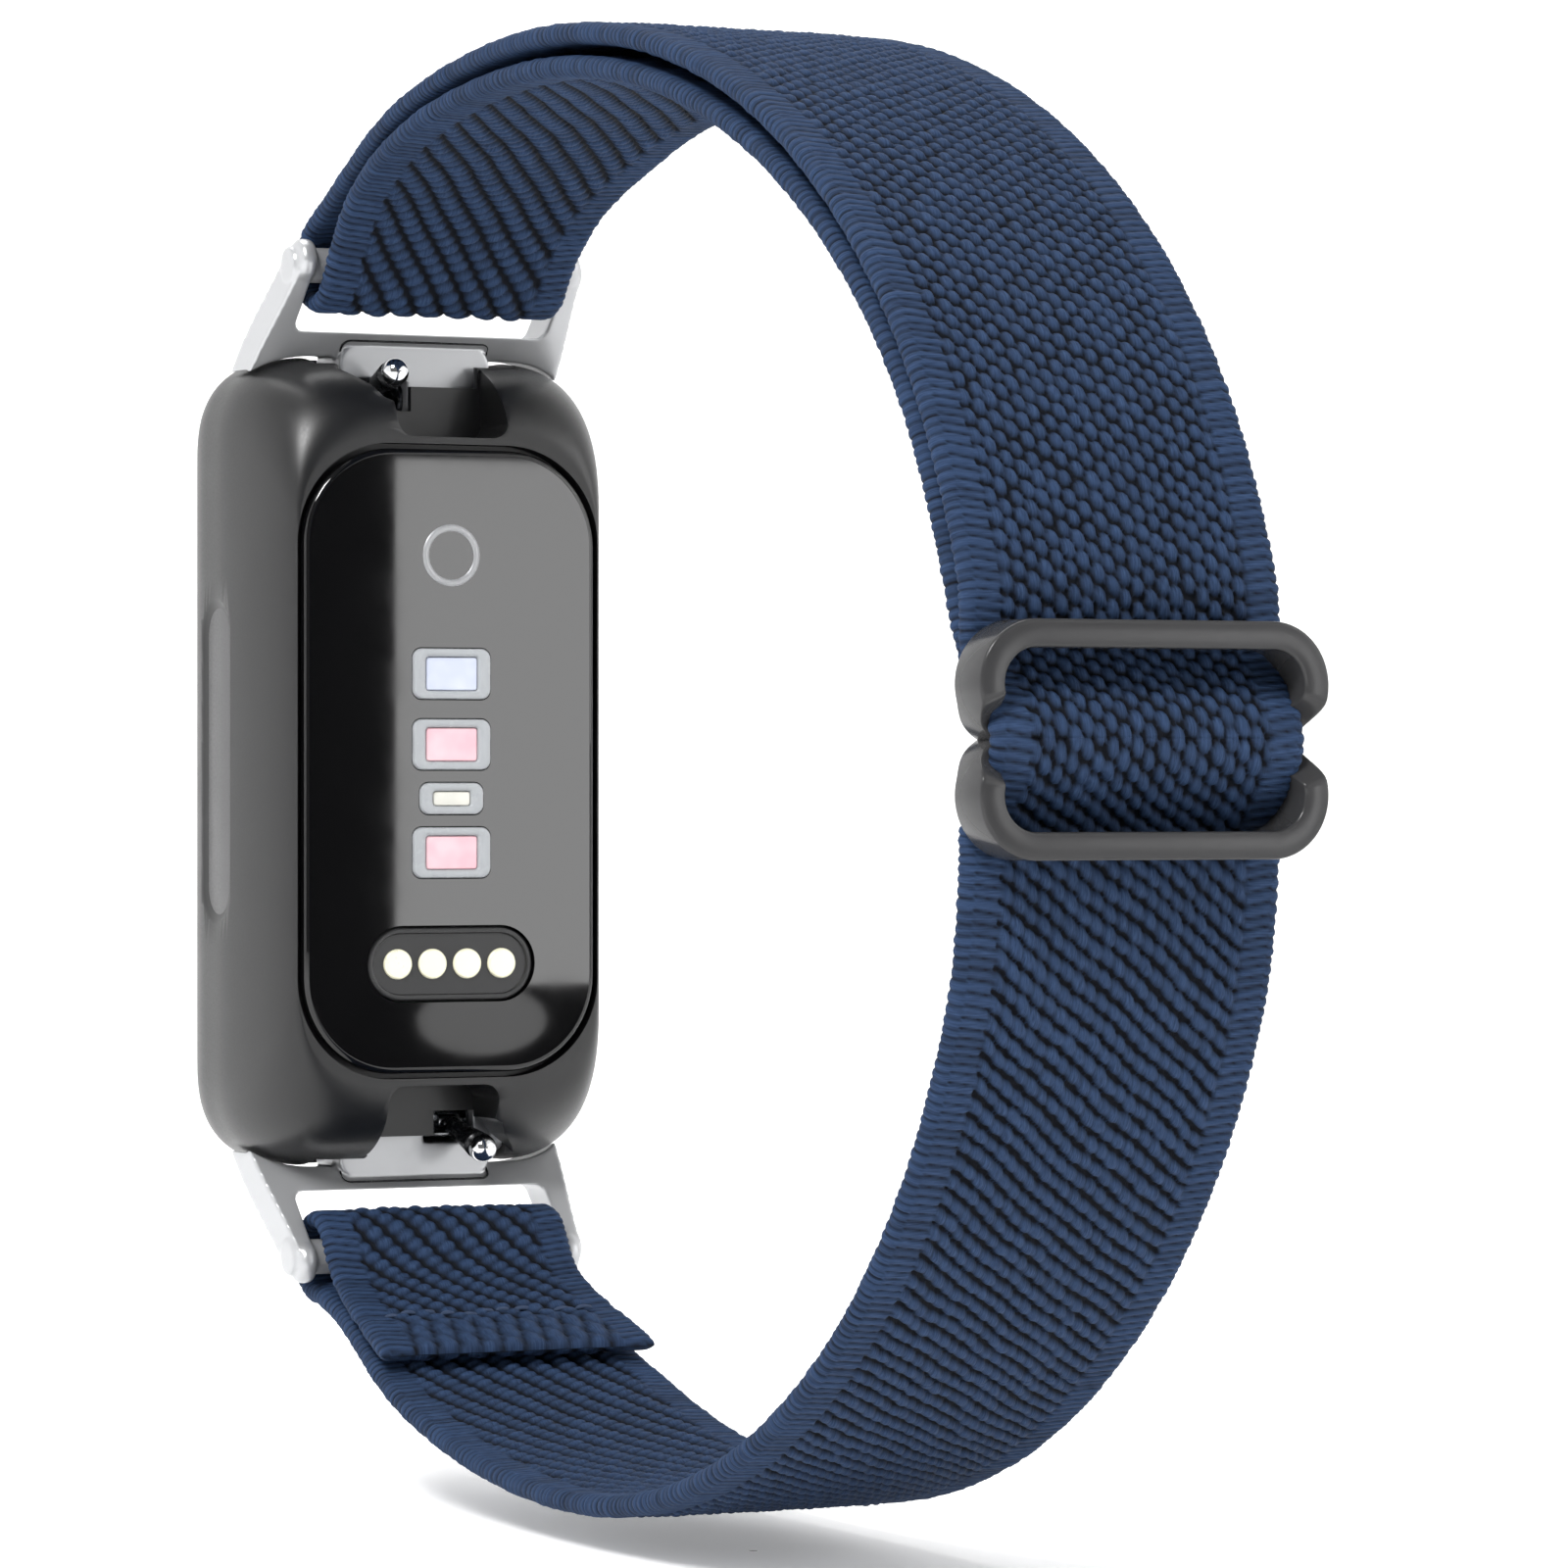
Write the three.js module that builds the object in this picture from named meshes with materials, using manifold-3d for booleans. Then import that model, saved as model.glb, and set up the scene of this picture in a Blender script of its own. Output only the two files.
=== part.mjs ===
// Fitness tracker band: a pebble tracker held by two metal adapters on an elastic woven strap
// that closes with a double loop slider.
// Frame, in millimetres: the origin is the middle of the wrist opening, +X runs across the band,
// +Y points to the tracker's display, +Z runs up along the tracker.
import * as THREE from 'three';
import { mergeVertices } from 'three/addons/utils/BufferGeometryUtils.js';
import Module from 'manifold-3d';

const wasm = await Module();
wasm.setup();

// ---- Driving dimensions -------------------------------------------------------------------

const FIT_GAP = 0.12; // between pieces that sit in one another
const CASE = { halfX: 9.3, halfZ: 19.65, back: 33.2, front: 44.3, cornerRadius: 5.8 };
const BACK_ROUNDING = { depth: 6.6, insetX: 1.5, powerX: 1.5, insetZ: 4, powerZ: 2, radiusLoss: 1.2 };
const FRONT_ROUNDING = { depth: 2.6, inset: 1.1, radiusLoss: 0.4 };
const CAVITY = { halfX: 7.5, halfZ: 14.3, back: 34.4, front: 43.1, radius: 4 };
const PLATE = { halfX: 7.6, halfZ: 15, radius: 4.6, back: 33, thickness: 0.9 };
const GLASS = { halfX: 7.7, halfZ: 18, radius: 5.6, back: 43.5, face: 44.75 };

const HINGE = { y: 39, z: 17.6 }; // axis of each spring bar, mirrored for the lower end
const LUG = { halfX: 5, halfY: 1.6, top: 20.6 };
const SLOT = { halfX: 5.4, clearance: 0.45, bottom: 15.7 };
const NOTCH = { halfX: 2.9, bottom: 15.6, depth: 3.35, lugTop: 18.2 }; // hollow in each end for a fingertip
const LEVER_ROOM = { left: -4.6, right: -0.4, bottom: 17 };

const STRAP = { halfX: 6.6, thickness: 1.05 };
const STRAP_BAR = { y: 35.3, z: 23.8, radius: 0.85, loopOuter: 2.3 };
const ARM = { baseY: 39.5, baseZ: 19.4, foot: 2.4, halfThickness: 0.95, inner: 6.8, outer: 8, lobe: 1.3 };
const CROSSBAR_LENGTH = 3.1; // from the arm's base to the strap slot

// The strap's outer face is an oval: one half ellipse pair above the slider and one below it.
const OVAL_TOP = { centreY: 8.7, towardSlider: 42.5, towardTracker: 46.1, height: 32.4 };
const OVAL_LOW = { centreY: 4.6, towardSlider: 38.4, towardTracker: 46.7, height: -33 };

const SLIDER = { z: 0.6, halfX: 7.75, halfZ: 4.65, rim: 1.1, front: -35.5, back: -33.9, overlap: 0.18 };
const SADDLE = { halfX: 6.3, halfZ: 2.3 }; // cut away between the slider's loops for the strap
const HUMP = { height: 2.2, halfLength: 3.9, halfX: 6.1 };
const MIDDLE_BAR = { y: -33.75, radius: 0.5, halfX: 6.45 };

const SEWN_RING_RADIUS = 1.1;
const SEAM_RADIUS = 0.16;

const PIN = { radius: 0.5, tipReach: 6.4, leverX: -2.3, travel: 1.1 };
const TUBE = { outer: 0.9, inner: 0.64, halfX: 4.8 };
const BALL_RADIUS = 0.68;
const BALL = { y: 34.5, z: 18.75 };

const WINDOWS = [
  { z: 4.2, halfX: 2.02, halfZ: 1.22, glow: 0xe8edf6 },
  { z: 0.8, halfX: 2.02, halfZ: 1.22, glow: 0xf6d6da },
  { z: -1.8, halfX: 1.65, halfZ: 0.76, glow: 0xf2f0ea },
  { z: -4.4, halfX: 2.02, halfZ: 1.22, glow: 0xf6d6da },
];
const CONTACTS = { z: -9.75, pitch: 1.81, radius: 0.73, padHalfX: 4.35, padHalfZ: 1.8 };

// ---- Materials ----------------------------------------------------------------------------

function material(color, roughness, metalness) {
  return new THREE.MeshStandardMaterial({ color, roughness, metalness });
}

const satinBlack = () => material(0x2b2b2c, 0.45, 0);
const glossBlack = () => material(0x08080a, 0.06, 0);
const softBlack = () => material(0x1c1d1f, 0.8, 0);
const clearLens = () => material(0xdfe3e6, 0.15, 0);
const circuitGreen = () => material(0x14402c, 0.5, 0.1);
const cellFoil = () => material(0x9a9ca0, 0.4, 0.6);
const gold = () => material(0xe9e3c4, 0.25, 0.9);
const satinSilver = () => material(0xb9bbbb, 0.32, 0.9);
const polishedSteel = () => material(0xd2d4d6, 0.1, 1);
const blackMetal = () => material(0x1b1c1e, 0.35, 0.7);
const gunmetal = () => material(0x4a4a4b, 0.22, 0.9);
const webbing = () => material(0x2b3b55, 0.9, 0);
const thread = () => material(0x34476a, 0.85, 0);

// ---- Solids and booleans ------------------------------------------------------------------

function toSolid(geometry) {
  let bare = geometry.clone();
  bare.deleteAttribute('normal');
  bare.deleteAttribute('uv');
  bare = mergeVertices(bare, 1e-4);
  const vertProperties = new Float32Array(bare.attributes.position.array);
  const triVerts = new Uint32Array(bare.index.array);
  return new wasm.Manifold(new wasm.Mesh({ numProp: 3, vertProperties, triVerts }));
}

function toGeometry(solid) {
  const mesh = solid.getMesh();
  const geometry = new THREE.BufferGeometry();
  geometry.setAttribute('position', new THREE.BufferAttribute(mesh.vertProperties, 3));
  geometry.setIndex(new THREE.BufferAttribute(mesh.triVerts, 1));
  return geometry;
}

function cut(geometry, ...tools) {
  let solid = toSolid(geometry);
  for (const tool of tools) {
    solid = solid.subtract(toSolid(tool));
  }
  return toGeometry(solid);
}

function join(geometry, ...others) {
  let solid = toSolid(geometry);
  for (const other of others) {
    solid = solid.add(toSolid(other));
  }
  return toGeometry(solid);
}

function box(x0, x1, y0, y1, z0, z1) {
  const geometry = new THREE.BoxGeometry(x1 - x0, y1 - y0, z1 - z0);
  return geometry.translate((x0 + x1) / 2, (y0 + y1) / 2, (z0 + z1) / 2);
}

function roundedRect(halfWidth, halfHeight, radius, centreX = 0, centreY = 0) {
  const shape = new THREE.Shape();
  const right = centreX + halfWidth - radius;
  const left = centreX - halfWidth + radius;
  const top = centreY + halfHeight - radius;
  const low = centreY - halfHeight + radius;
  shape.absarc(right, top, radius, 0, Math.PI / 2);
  shape.absarc(left, top, radius, Math.PI / 2, Math.PI);
  shape.absarc(left, low, radius, Math.PI, Math.PI * 1.5);
  shape.absarc(right, low, radius, Math.PI * 1.5, Math.PI * 2);
  shape.closePath();
  return shape;
}

// A shape drawn in X and Z, made solid from y0 to y1.
function slab(shape, y0, y1, curveSegments = 6) {
  const geometry = new THREE.ExtrudeGeometry(shape, { depth: y1 - y0, bevelEnabled: false, curveSegments });
  return geometry.rotateX(Math.PI / 2).translate(0, y1, 0);
}

// A shape drawn in Y and Z, made solid from x0 to x1.
function across(shape, x0, x1, curveSegments = 6) {
  const geometry = new THREE.ExtrudeGeometry(shape, { depth: x1 - x0, bevelEnabled: false, curveSegments });
  const turn = new THREE.Matrix4().makeBasis(
    new THREE.Vector3(0, 1, 0),
    new THREE.Vector3(0, 0, 1),
    new THREE.Vector3(1, 0, 0),
  );
  return geometry.applyMatrix4(turn).translate(x0, 0, 0);
}

function rodAlongX(radius, x0, x1, y, z, sides = 16) {
  const geometry = new THREE.CylinderGeometry(radius, radius, x1 - x0, sides);
  return geometry.rotateZ(Math.PI / 2).translate((x0 + x1) / 2, y, z);
}

function discAlongY(radius, y0, y1, x, z, sides = 20) {
  const geometry = new THREE.CylinderGeometry(radius, radius, y1 - y0, sides);
  return geometry.translate(x, (y0 + y1) / 2, z);
}

// ---- Tracker case -------------------------------------------------------------------------

// How far the case draws in at depth y: rounded toward the back, a tighter curve at the front.
function caseInset(y, backInset, backPower, frontInset) {
  const back = THREE.MathUtils.clamp((CASE.back + BACK_ROUNDING.depth - y) / BACK_ROUNDING.depth, 0, 1);
  const front = THREE.MathUtils.clamp((y - CASE.front + FRONT_ROUNDING.depth) / FRONT_ROUNDING.depth, 0, 1);
  const curve = (t, power) => 1 - (1 - t ** power) ** (1 / power);
  return backInset * curve(back, backPower) + frontInset * curve(front, 2);
}

// The outside of the case, as a stack of rounded outlines joined from back to front.
function caseOutside(grow = 0) {
  const levels = [0, 0.05, 0.15, 0.3, 0.5, 0.75, 0.86, 0.93, 0.98, 1];
  const rings = levels.map((t) => {
    const y = THREE.MathUtils.lerp(CASE.back - grow, CASE.front + grow, t);
    const insideY = THREE.MathUtils.clamp(y, CASE.back, CASE.front);
    const insetX = caseInset(insideY, BACK_ROUNDING.insetX, BACK_ROUNDING.powerX, FRONT_ROUNDING.inset);
    const insetZ = caseInset(insideY, BACK_ROUNDING.insetZ, BACK_ROUNDING.powerZ, FRONT_ROUNDING.inset);
    const radiusLoss = caseInset(insideY, BACK_ROUNDING.radiusLoss, 2, FRONT_ROUNDING.radiusLoss);
    const halfX = CASE.halfX - insetX + grow;
    const halfZ = CASE.halfZ - insetZ + grow;
    const radius = CASE.cornerRadius - radiusLoss;
    const outline = roundedRect(halfX, halfZ, radius).getPoints(6);
    return outline.slice(0, -1).map((point) => [point.x, y, point.y]);
  });
  return closedStack(rings);
}

function closedStack(rings) {
  const count = rings[0].length;
  const positions = rings.flat(2);
  const index = [];
  for (let level = 0; level + 1 < rings.length; level += 1) {
    for (let i = 0; i < count; i += 1) {
      const a = level * count + i;
      const b = level * count + ((i + 1) % count);
      index.push(a, a + count, b, b, a + count, b + count);
    }
  }
  const last = (rings.length - 1) * count;
  for (let i = 1; i + 1 < count; i += 1) {
    index.push(0, i, i + 1);
    index.push(last, last + i + 1, last + i);
  }
  const geometry = new THREE.BufferGeometry();
  geometry.setAttribute('position', new THREE.Float32BufferAttribute(positions, 3));
  geometry.setIndex(index);
  return geometry;
}

// The room in one end of the case for the adapter's lug, its spring bar and the release lever.
function endPocket() {
  const reach = CASE.halfZ + 2;
  const slotBack = HINGE.y - LUG.halfY - SLOT.clearance;
  const slotFront = HINGE.y + LUG.halfY + SLOT.clearance;
  const slot = box(-SLOT.halfX, SLOT.halfX, slotBack, slotFront, SLOT.bottom, reach);
  const outer = CASE.back - 1;
  const notch = slab(
    roundedRect(NOTCH.halfX, (reach - NOTCH.bottom) / 2, 0.7, 0, (reach + NOTCH.bottom) / 2),
    outer,
    CASE.back + NOTCH.depth,
  );
  const overLug = box(-NOTCH.halfX, NOTCH.halfX, outer, HINGE.y, NOTCH.lugTop, reach);
  const leverRoom = box(LEVER_ROOM.left, LEVER_ROOM.right, outer, HINGE.y, LEVER_ROOM.bottom, reach);
  const holes = rodAlongX(PIN.radius + 0.1, -PIN.tipReach - 0.2, PIN.tipReach + 0.2, HINGE.y, HINGE.z);
  return [slot, notch, overLug, leverRoom, holes];
}

function squeezePadShape(grow) {
  return roundedRect(2 + grow, 7.6 + grow, 1.99 + grow, 40.7, 0);
}

function caseBody() {
  const cavity = slab(roundedRect(CAVITY.halfX, CAVITY.halfZ, CAVITY.radius), CAVITY.back, CAVITY.front);
  const plateSeat = slab(
    roundedRect(PLATE.halfX + FIT_GAP, PLATE.halfZ + FIT_GAP, PLATE.radius),
    CASE.back - 1,
    PLATE.back + PLATE.thickness + FIT_GAP,
  );
  const backOpening = slab(roundedRect(6.3, 13.4, 3.6), CASE.back, CAVITY.back + 1);
  const glassSeat = slab(
    roundedRect(GLASS.halfX + FIT_GAP, GLASS.halfZ + FIT_GAP, GLASS.radius),
    GLASS.back - FIT_GAP,
    CASE.front + 1,
  );
  const frontOpening = slab(roundedRect(6.9, 13.9, 3.6), CAVITY.front - 1, GLASS.back);
  const pads = [-1, 1].map((side) => {
    const depth = 0.6;
    const from = side > 0 ? CASE.halfX - depth : -CASE.halfX - 1;
    return across(squeezePadShape(FIT_GAP), from, from + depth + 1);
  });
  const upper = endPocket();
  const lower = endPocket().map((tool) => tool.rotateY(Math.PI));
  const openings = [cavity, plateSeat, backOpening, glassSeat, frontOpening];
  return cut(caseOutside(), ...openings, ...pads, ...upper, ...lower);
}

function squeezePad(side) {
  const thickness = 0.35;
  const inner = CASE.halfX - 0.6 + 0.1;
  const from = side > 0 ? inner : -inner - thickness;
  return across(squeezePadShape(0), from, from + thickness);
}

// ---- Back of the tracker ------------------------------------------------------------------

function windowShape(spec, grow) {
  return roundedRect(spec.halfX + grow, spec.halfZ + grow, 0.45, 0, spec.z);
}

function padShape(grow) {
  const halfZ = CONTACTS.padHalfZ + grow;
  return roundedRect(CONTACTS.padHalfX + grow, halfZ, halfZ - 0.01, 0, CONTACTS.z);
}

function backPlate() {
  const front = PLATE.back + PLATE.thickness;
  const body = slab(roundedRect(PLATE.halfX, PLATE.halfZ, PLATE.radius), PLATE.back, front);
  const holes = WINDOWS.map((spec) => slab(windowShape(spec, 0.06), PLATE.back - 1, front + 1, 3));
  const padHole = slab(padShape(0.06), PLATE.back - 1, front + 1);
  return cut(body, ...holes, padHole);
}

function sensorBezel(spec) {
  const inner = roundedRect(spec.halfX - 0.42, spec.halfZ - 0.4, 0.15, 0, spec.z);
  const ring = windowShape(spec, 0);
  ring.holes.push(inner);
  return slab(ring, PLATE.back - 0.25, PLATE.back + PLATE.thickness, 3);
}

function sensorWindow(spec) {
  const shape = roundedRect(spec.halfX - 0.48, spec.halfZ - 0.46, 0.12, 0, spec.z);
  return slab(shape, PLATE.back - 0.1, PLATE.back + PLATE.thickness, 3);
}

function contactX(index) {
  return (index - 1.5) * CONTACTS.pitch;
}

function contactPad() {
  const front = PLATE.back + PLATE.thickness;
  const body = slab(padShape(0), PLATE.back + 0.2, front);
  const holes = [0, 1, 2, 3].map((i) =>
    discAlongY(CONTACTS.radius + 0.05, PLATE.back - 1, front + 1, contactX(i), CONTACTS.z));
  return cut(body, ...holes);
}

function chargeContact(index) {
  const front = PLATE.back + PLATE.thickness;
  return discAlongY(CONTACTS.radius, PLATE.back + 0.05, front, contactX(index), CONTACTS.z);
}

// ---- Inside the tracker -------------------------------------------------------------------

function sensorBoard() {
  return slab(roundedRect(5.9, 13, 2.5), 34.05, 34.75);
}

function battery() {
  return slab(roundedRect(6.4, 8.2, 1, 0, -5.2), 35.1, 38.9, 3);
}

function mainBoard() {
  const board = slab(roundedRect(7, 13.6, 3), 39.3, 40.1);
  const processor = box(-2.8, 2.8, 39.9, 41.1, -3, 2.6);
  const radio = box(-2, 2, 39.9, 40.9, 5.2, 8.8);
  return join(board, processor, radio);
}

function vibrationMotor() {
  return rodAlongX(1.7, -4.2, 4.2, 37, 7.4, 20);
}

function displayPanel() {
  return slab(roundedRect(6.3, 12.8, 1.2), 41.5, 42.9);
}

function displayGasket() {
  const ring = roundedRect(6.8, 13.8, 3.4);
  ring.holes.push(roundedRect(6.2, 13.1, 2.8));
  return slab(ring, CAVITY.front - 0.05, GLASS.back - 0.05);
}

function displayGlass() {
  const bevel = 0.5;
  const shape = roundedRect(GLASS.halfX - bevel, GLASS.halfZ - bevel, GLASS.radius - bevel);
  const geometry = new THREE.ExtrudeGeometry(shape, {
    depth: GLASS.face - GLASS.back - bevel,
    bevelThickness: bevel,
    bevelSize: bevel,
    bevelSegments: 3,
    curveSegments: 6,
  });
  const flatBack = box(-20, 20, GLASS.back - 2, GLASS.back, -30, 30);
  return cut(geometry.rotateX(Math.PI / 2).translate(0, GLASS.face - bevel, 0), flatBack);
}

// ---- Adapter with its quick release spring bar (drawn for the upper end) ---------------------

function armShape() {
  const tip = new THREE.Vector2(STRAP_BAR.y - 0.4, STRAP_BAR.z + 0.2);
  const base = new THREE.Vector2(ARM.baseY, ARM.baseZ);
  const along = tip.clone().sub(base).normalize();
  const outward = new THREE.Vector2(along.y, -along.x);
  const foot = base.clone().addScaledVector(along, -ARM.foot);
  const shape = new THREE.Shape();
  const start = foot.clone().addScaledVector(outward, ARM.halfThickness);
  const end = foot.clone().addScaledVector(outward, -ARM.halfThickness);
  const heading = outward.angle();
  shape.moveTo(start.x, start.y);
  shape.absarc(tip.x, tip.y, ARM.lobe, heading, heading + Math.PI);
  shape.lineTo(end.x, end.y);
  shape.closePath();
  return { shape, base, along, outward };
}

function adapterFrame() {
  const { shape, base, along, outward } = armShape();
  const arms = [-1, 1].map((side) => {
    const from = side > 0 ? ARM.inner : -ARM.outer;
    return across(shape, from, from + ARM.outer - ARM.inner);
  });
  const ends = [[-ARM.foot, -1], [-ARM.foot, 1], [CROSSBAR_LENGTH, 1], [CROSSBAR_LENGTH, -1]];
  const corners = ends.map(([s, side]) =>
    base.clone().addScaledVector(along, s).addScaledVector(outward, -side * ARM.halfThickness));
  const crossbar = across(new THREE.Shape(corners), -ARM.inner - 0.1, ARM.inner + 0.1);
  const plate = cut(join(arms[0], arms[1], crossbar), caseOutside(0.35));
  const strapBar = rodAlongX(STRAP_BAR.radius, -ARM.outer + 0.2, ARM.outer - 0.2, STRAP_BAR.y, STRAP_BAR.z);
  const lug = join(
    box(-LUG.halfX, LUG.halfX, HINGE.y - LUG.halfY, HINGE.y + LUG.halfY, HINGE.z, LUG.top),
    rodAlongX(LUG.halfY, -LUG.halfX, LUG.halfX, HINGE.y, HINGE.z, 24),
  );
  const bore = rodAlongX(TUBE.outer + 0.1, -20, 20, HINGE.y, HINGE.z);
  const slotEnd = PIN.leverX + PIN.travel + 0.75;
  const leverSlot = box(PIN.leverX - 0.75, slotEnd, 30, HINGE.y, HINGE.z - 1.4, HINGE.z + 2.2);
  return cut(join(plate, strapBar, lug), bore, leverSlot);
}

function springBarTube() {
  const outside = rodAlongX(TUBE.outer, -TUBE.halfX, TUBE.halfX, HINGE.y, HINGE.z);
  const bore = rodAlongX(TUBE.inner, -20, 20, HINGE.y, HINGE.z);
  const slotEnd = PIN.leverX + PIN.travel + 0.7;
  const slot = box(PIN.leverX - 0.7, slotEnd, 30, HINGE.y, HINGE.z - 0.7, HINGE.z + 0.75);
  return cut(outside, bore, slot);
}

function fixedTip() {
  return rodAlongX(PIN.radius, 4, PIN.tipReach, HINGE.y, HINGE.z);
}

function releasePin() {
  return rodAlongX(PIN.radius, -PIN.tipReach, PIN.leverX + 0.6, HINGE.y, HINGE.z);
}

function releaseSpring() {
  const turns = 7;
  const start = PIN.leverX + PIN.travel + 0.85;
  const end = 3.8;
  const points = [];
  for (let i = 0; i <= turns * 8; i += 1) {
    const angle = (i / 8) * 2 * Math.PI;
    const x = THREE.MathUtils.lerp(start, end, i / (turns * 8));
    points.push(new THREE.Vector3(x, HINGE.y + 0.45 * Math.cos(angle), HINGE.z + 0.45 * Math.sin(angle)));
  }
  const wire = new THREE.Shape();
  wire.absarc(0, 0, 0.09, 0, Math.PI * 2);
  return new THREE.ExtrudeGeometry(wire, {
    steps: points.length - 1,
    curveSegments: 3,
    extrudePath: new THREE.CatmullRomCurve3(points),
  });
}

function taperedRod(from, to, fromRadius, toRadius) {
  const direction = to.clone().sub(from);
  const geometry = new THREE.CylinderGeometry(toRadius, fromRadius, direction.length(), 16);
  const turn = new THREE.Quaternion();
  turn.setFromUnitVectors(new THREE.Vector3(0, 1, 0), direction.normalize());
  const middle = from.clone().add(to).multiplyScalar(0.5);
  return geometry.applyQuaternion(turn).translate(middle.x, middle.y, middle.z);
}

function leverPoint(share) {
  const root = new THREE.Vector3(PIN.leverX, HINGE.y, HINGE.z);
  return root.lerp(new THREE.Vector3(PIN.leverX, BALL.y, BALL.z), share);
}

function leverStalk() {
  return taperedRod(leverPoint(0.16), leverPoint(0.84), 0.42, 0.6);
}

function leverBall() {
  const centre = leverPoint(1);
  return new THREE.SphereGeometry(BALL_RADIUS, 14, 10).translate(centre.x, centre.y, centre.z);
}

// ---- Strap ----------------------------------------------------------------------------------

// A point on the strap's oval, drawn in from its outer face by inset. Angles run from 0 at the
// tracker to 180 degrees at the slider.
function ovalPoint(oval, degrees, inset) {
  const angle = THREE.MathUtils.degToRad(degrees);
  const radiusY = Math.cos(angle) < 0 ? oval.towardSlider : oval.towardTracker;
  const normal = new THREE.Vector2(Math.cos(angle) / radiusY, Math.sin(angle) / oval.height).normalize();
  const point = new THREE.Vector2(oval.centreY + radiusY * Math.cos(angle), oval.height * Math.sin(angle));
  return point.addScaledVector(normal, -inset);
}

function ovalPath(oval, fromDegrees, toDegrees, inset, steps) {
  const path = [];
  for (let i = 0; i <= steps; i += 1) {
    path.push(ovalPoint(oval, THREE.MathUtils.lerp(fromDegrees, toDegrees, i / steps), inset));
  }
  return path;
}

function arcPath(y, z, radius, fromDegrees, toDegrees, steps) {
  const path = [];
  for (let i = 0; i <= steps; i += 1) {
    const angle = THREE.MathUtils.degToRad(THREE.MathUtils.lerp(fromDegrees, toDegrees, i / steps));
    path.push(new THREE.Vector2(y + radius * Math.cos(angle), z + radius * Math.sin(angle)));
  }
  return path;
}

function smoothPath(points, steps) {
  const curve = new THREE.SplineCurve(points.map(([y, z]) => new THREE.Vector2(y, z)));
  return curve.getPoints(steps);
}

// A length of webbing whose middle runs along a path in Y and Z.
function ribbon(path, thickness = STRAP.thickness, halfX = STRAP.halfX) {
  const sides = [1, -1].map((side) => path.map((point, i) => {
    const before = path[Math.max(i - 1, 0)];
    const after = path[Math.min(i + 1, path.length - 1)];
    const along = after.clone().sub(before).normalize();
    return new THREE.Vector2(-along.y, along.x).multiplyScalar((side * thickness) / 2).add(point);
  }));
  const outline = [...sides[0], ...sides[1].reverse()];
  return across(new THREE.Shape(outline), -halfX, halfX);
}

const HALF = STRAP.thickness / 2;
const INNER_INSET = STRAP.thickness + 0.15 + HALF;
const LOOP_RADIUS = STRAP_BAR.loopOuter - HALF;
const TOP_STOP = 154; // degrees on the oval where the strap meets the feed above the slider
const LOW_STOP = 158;
const BEHIND_SLIDER = SLIDER.back + 0.15 + HALF;
const SEWN_LAYER_Y = -31.75; // the sewn layer's middle beside the slider's top bar

function strapOuterUpper() {
  return ribbon(ovalPath(OVAL_TOP, 55, TOP_STOP, HALF, 22));
}

function strapInnerUpper() {
  const bend = smoothPath([[32.6, 24.4], [30.4, 26.4], [27.6, 27.55], [24.6, 28.5]], 8);
  return ribbon([...bend, ...ovalPath(OVAL_TOP, 73, TOP_STOP, INNER_INSET, 18)]);
}

function strapLower() {
  const bend = smoothPath([[33.4, -26], [31.6, -26.5], [29.4, -27.3]], 3);
  return ribbon([...bend, ...ovalPath(OVAL_LOW, 61, LOW_STOP, HALF, 24)]);
}

function strapUpperLoop() {
  const over = ovalPoint(OVAL_TOP, 54, HALF);
  const around = arcPath(STRAP_BAR.y, STRAP_BAR.z, LOOP_RADIUS, 60, -140, 14);
  const away = around[around.length - 1].clone().add(new THREE.Vector2(-0.7, 0.75));
  return ribbon([over, ...around, away]);
}

function strapLowerLoop() {
  return ribbon(arcPath(STRAP_BAR.y, -STRAP_BAR.z, LOOP_RADIUS, -100, 150, 16));
}

function strapTail() {
  const path = smoothPath([[33.2, -23.9], [32, -25.1], [30, -26.1], [27.6, -27.1], [25.2, -27.9]], 10);
  return ribbon(path, 0.65);
}

// Where the strap's middle runs as it passes behind the slider's outer bars and over its middle bar.
function humpPath(fromZ, toZ, steps) {
  const path = [];
  for (let i = 0; i <= steps; i += 1) {
    const z = THREE.MathUtils.lerp(fromZ, toZ, i / steps);
    const share = Math.min(Math.abs(z) / HUMP.halfLength, 1);
    const bump = 0.5 + 0.5 * Math.cos(Math.PI * share);
    path.push(new THREE.Vector2(BEHIND_SLIDER - HUMP.height * bump, SLIDER.z + z));
  }
  return path;
}

function strapSliderHump() {
  return ribbon(humpPath(-SLIDER.halfZ, SLIDER.halfZ, 24), STRAP.thickness, HUMP.halfX);
}

function feed(oval, stop, inset, nearSlider) {
  const far = ovalPoint(oval, stop, inset);
  const before = ovalPoint(oval, stop - 2, inset);
  const start = far.clone().add(far.clone().sub(before).setLength(0.3));
  const middle = ovalPoint(oval, stop + 6, inset);
  return ribbon(smoothPath([start.toArray(), middle.toArray(), nearSlider], 5));
}

function strapSewnEnd() {
  const top = SLIDER.z + SLIDER.halfZ;
  const behind = smoothPath([[-32.9, SLIDER.z + 0.4], [-32.4, SLIDER.z + 2], [SEWN_LAYER_Y, top]], 6);
  const layer = ribbon(behind, STRAP.thickness, HUMP.halfX);
  const ring = rodAlongX(SEWN_RING_RADIUS, -HUMP.halfX, HUMP.halfX, MIDDLE_BAR.y, SLIDER.z, 24);
  const bore = rodAlongX(MIDDLE_BAR.radius + 0.08, -20, 20, MIDDLE_BAR.y, SLIDER.z, 16);
  return cut(join(layer, ring), bore);
}

function seam(y, z, radius) {
  return rodAlongX(radius, -STRAP.halfX + 0.6, STRAP.halfX - 0.6, y, z, 8);
}

// ---- Slider ---------------------------------------------------------------------------------

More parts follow.
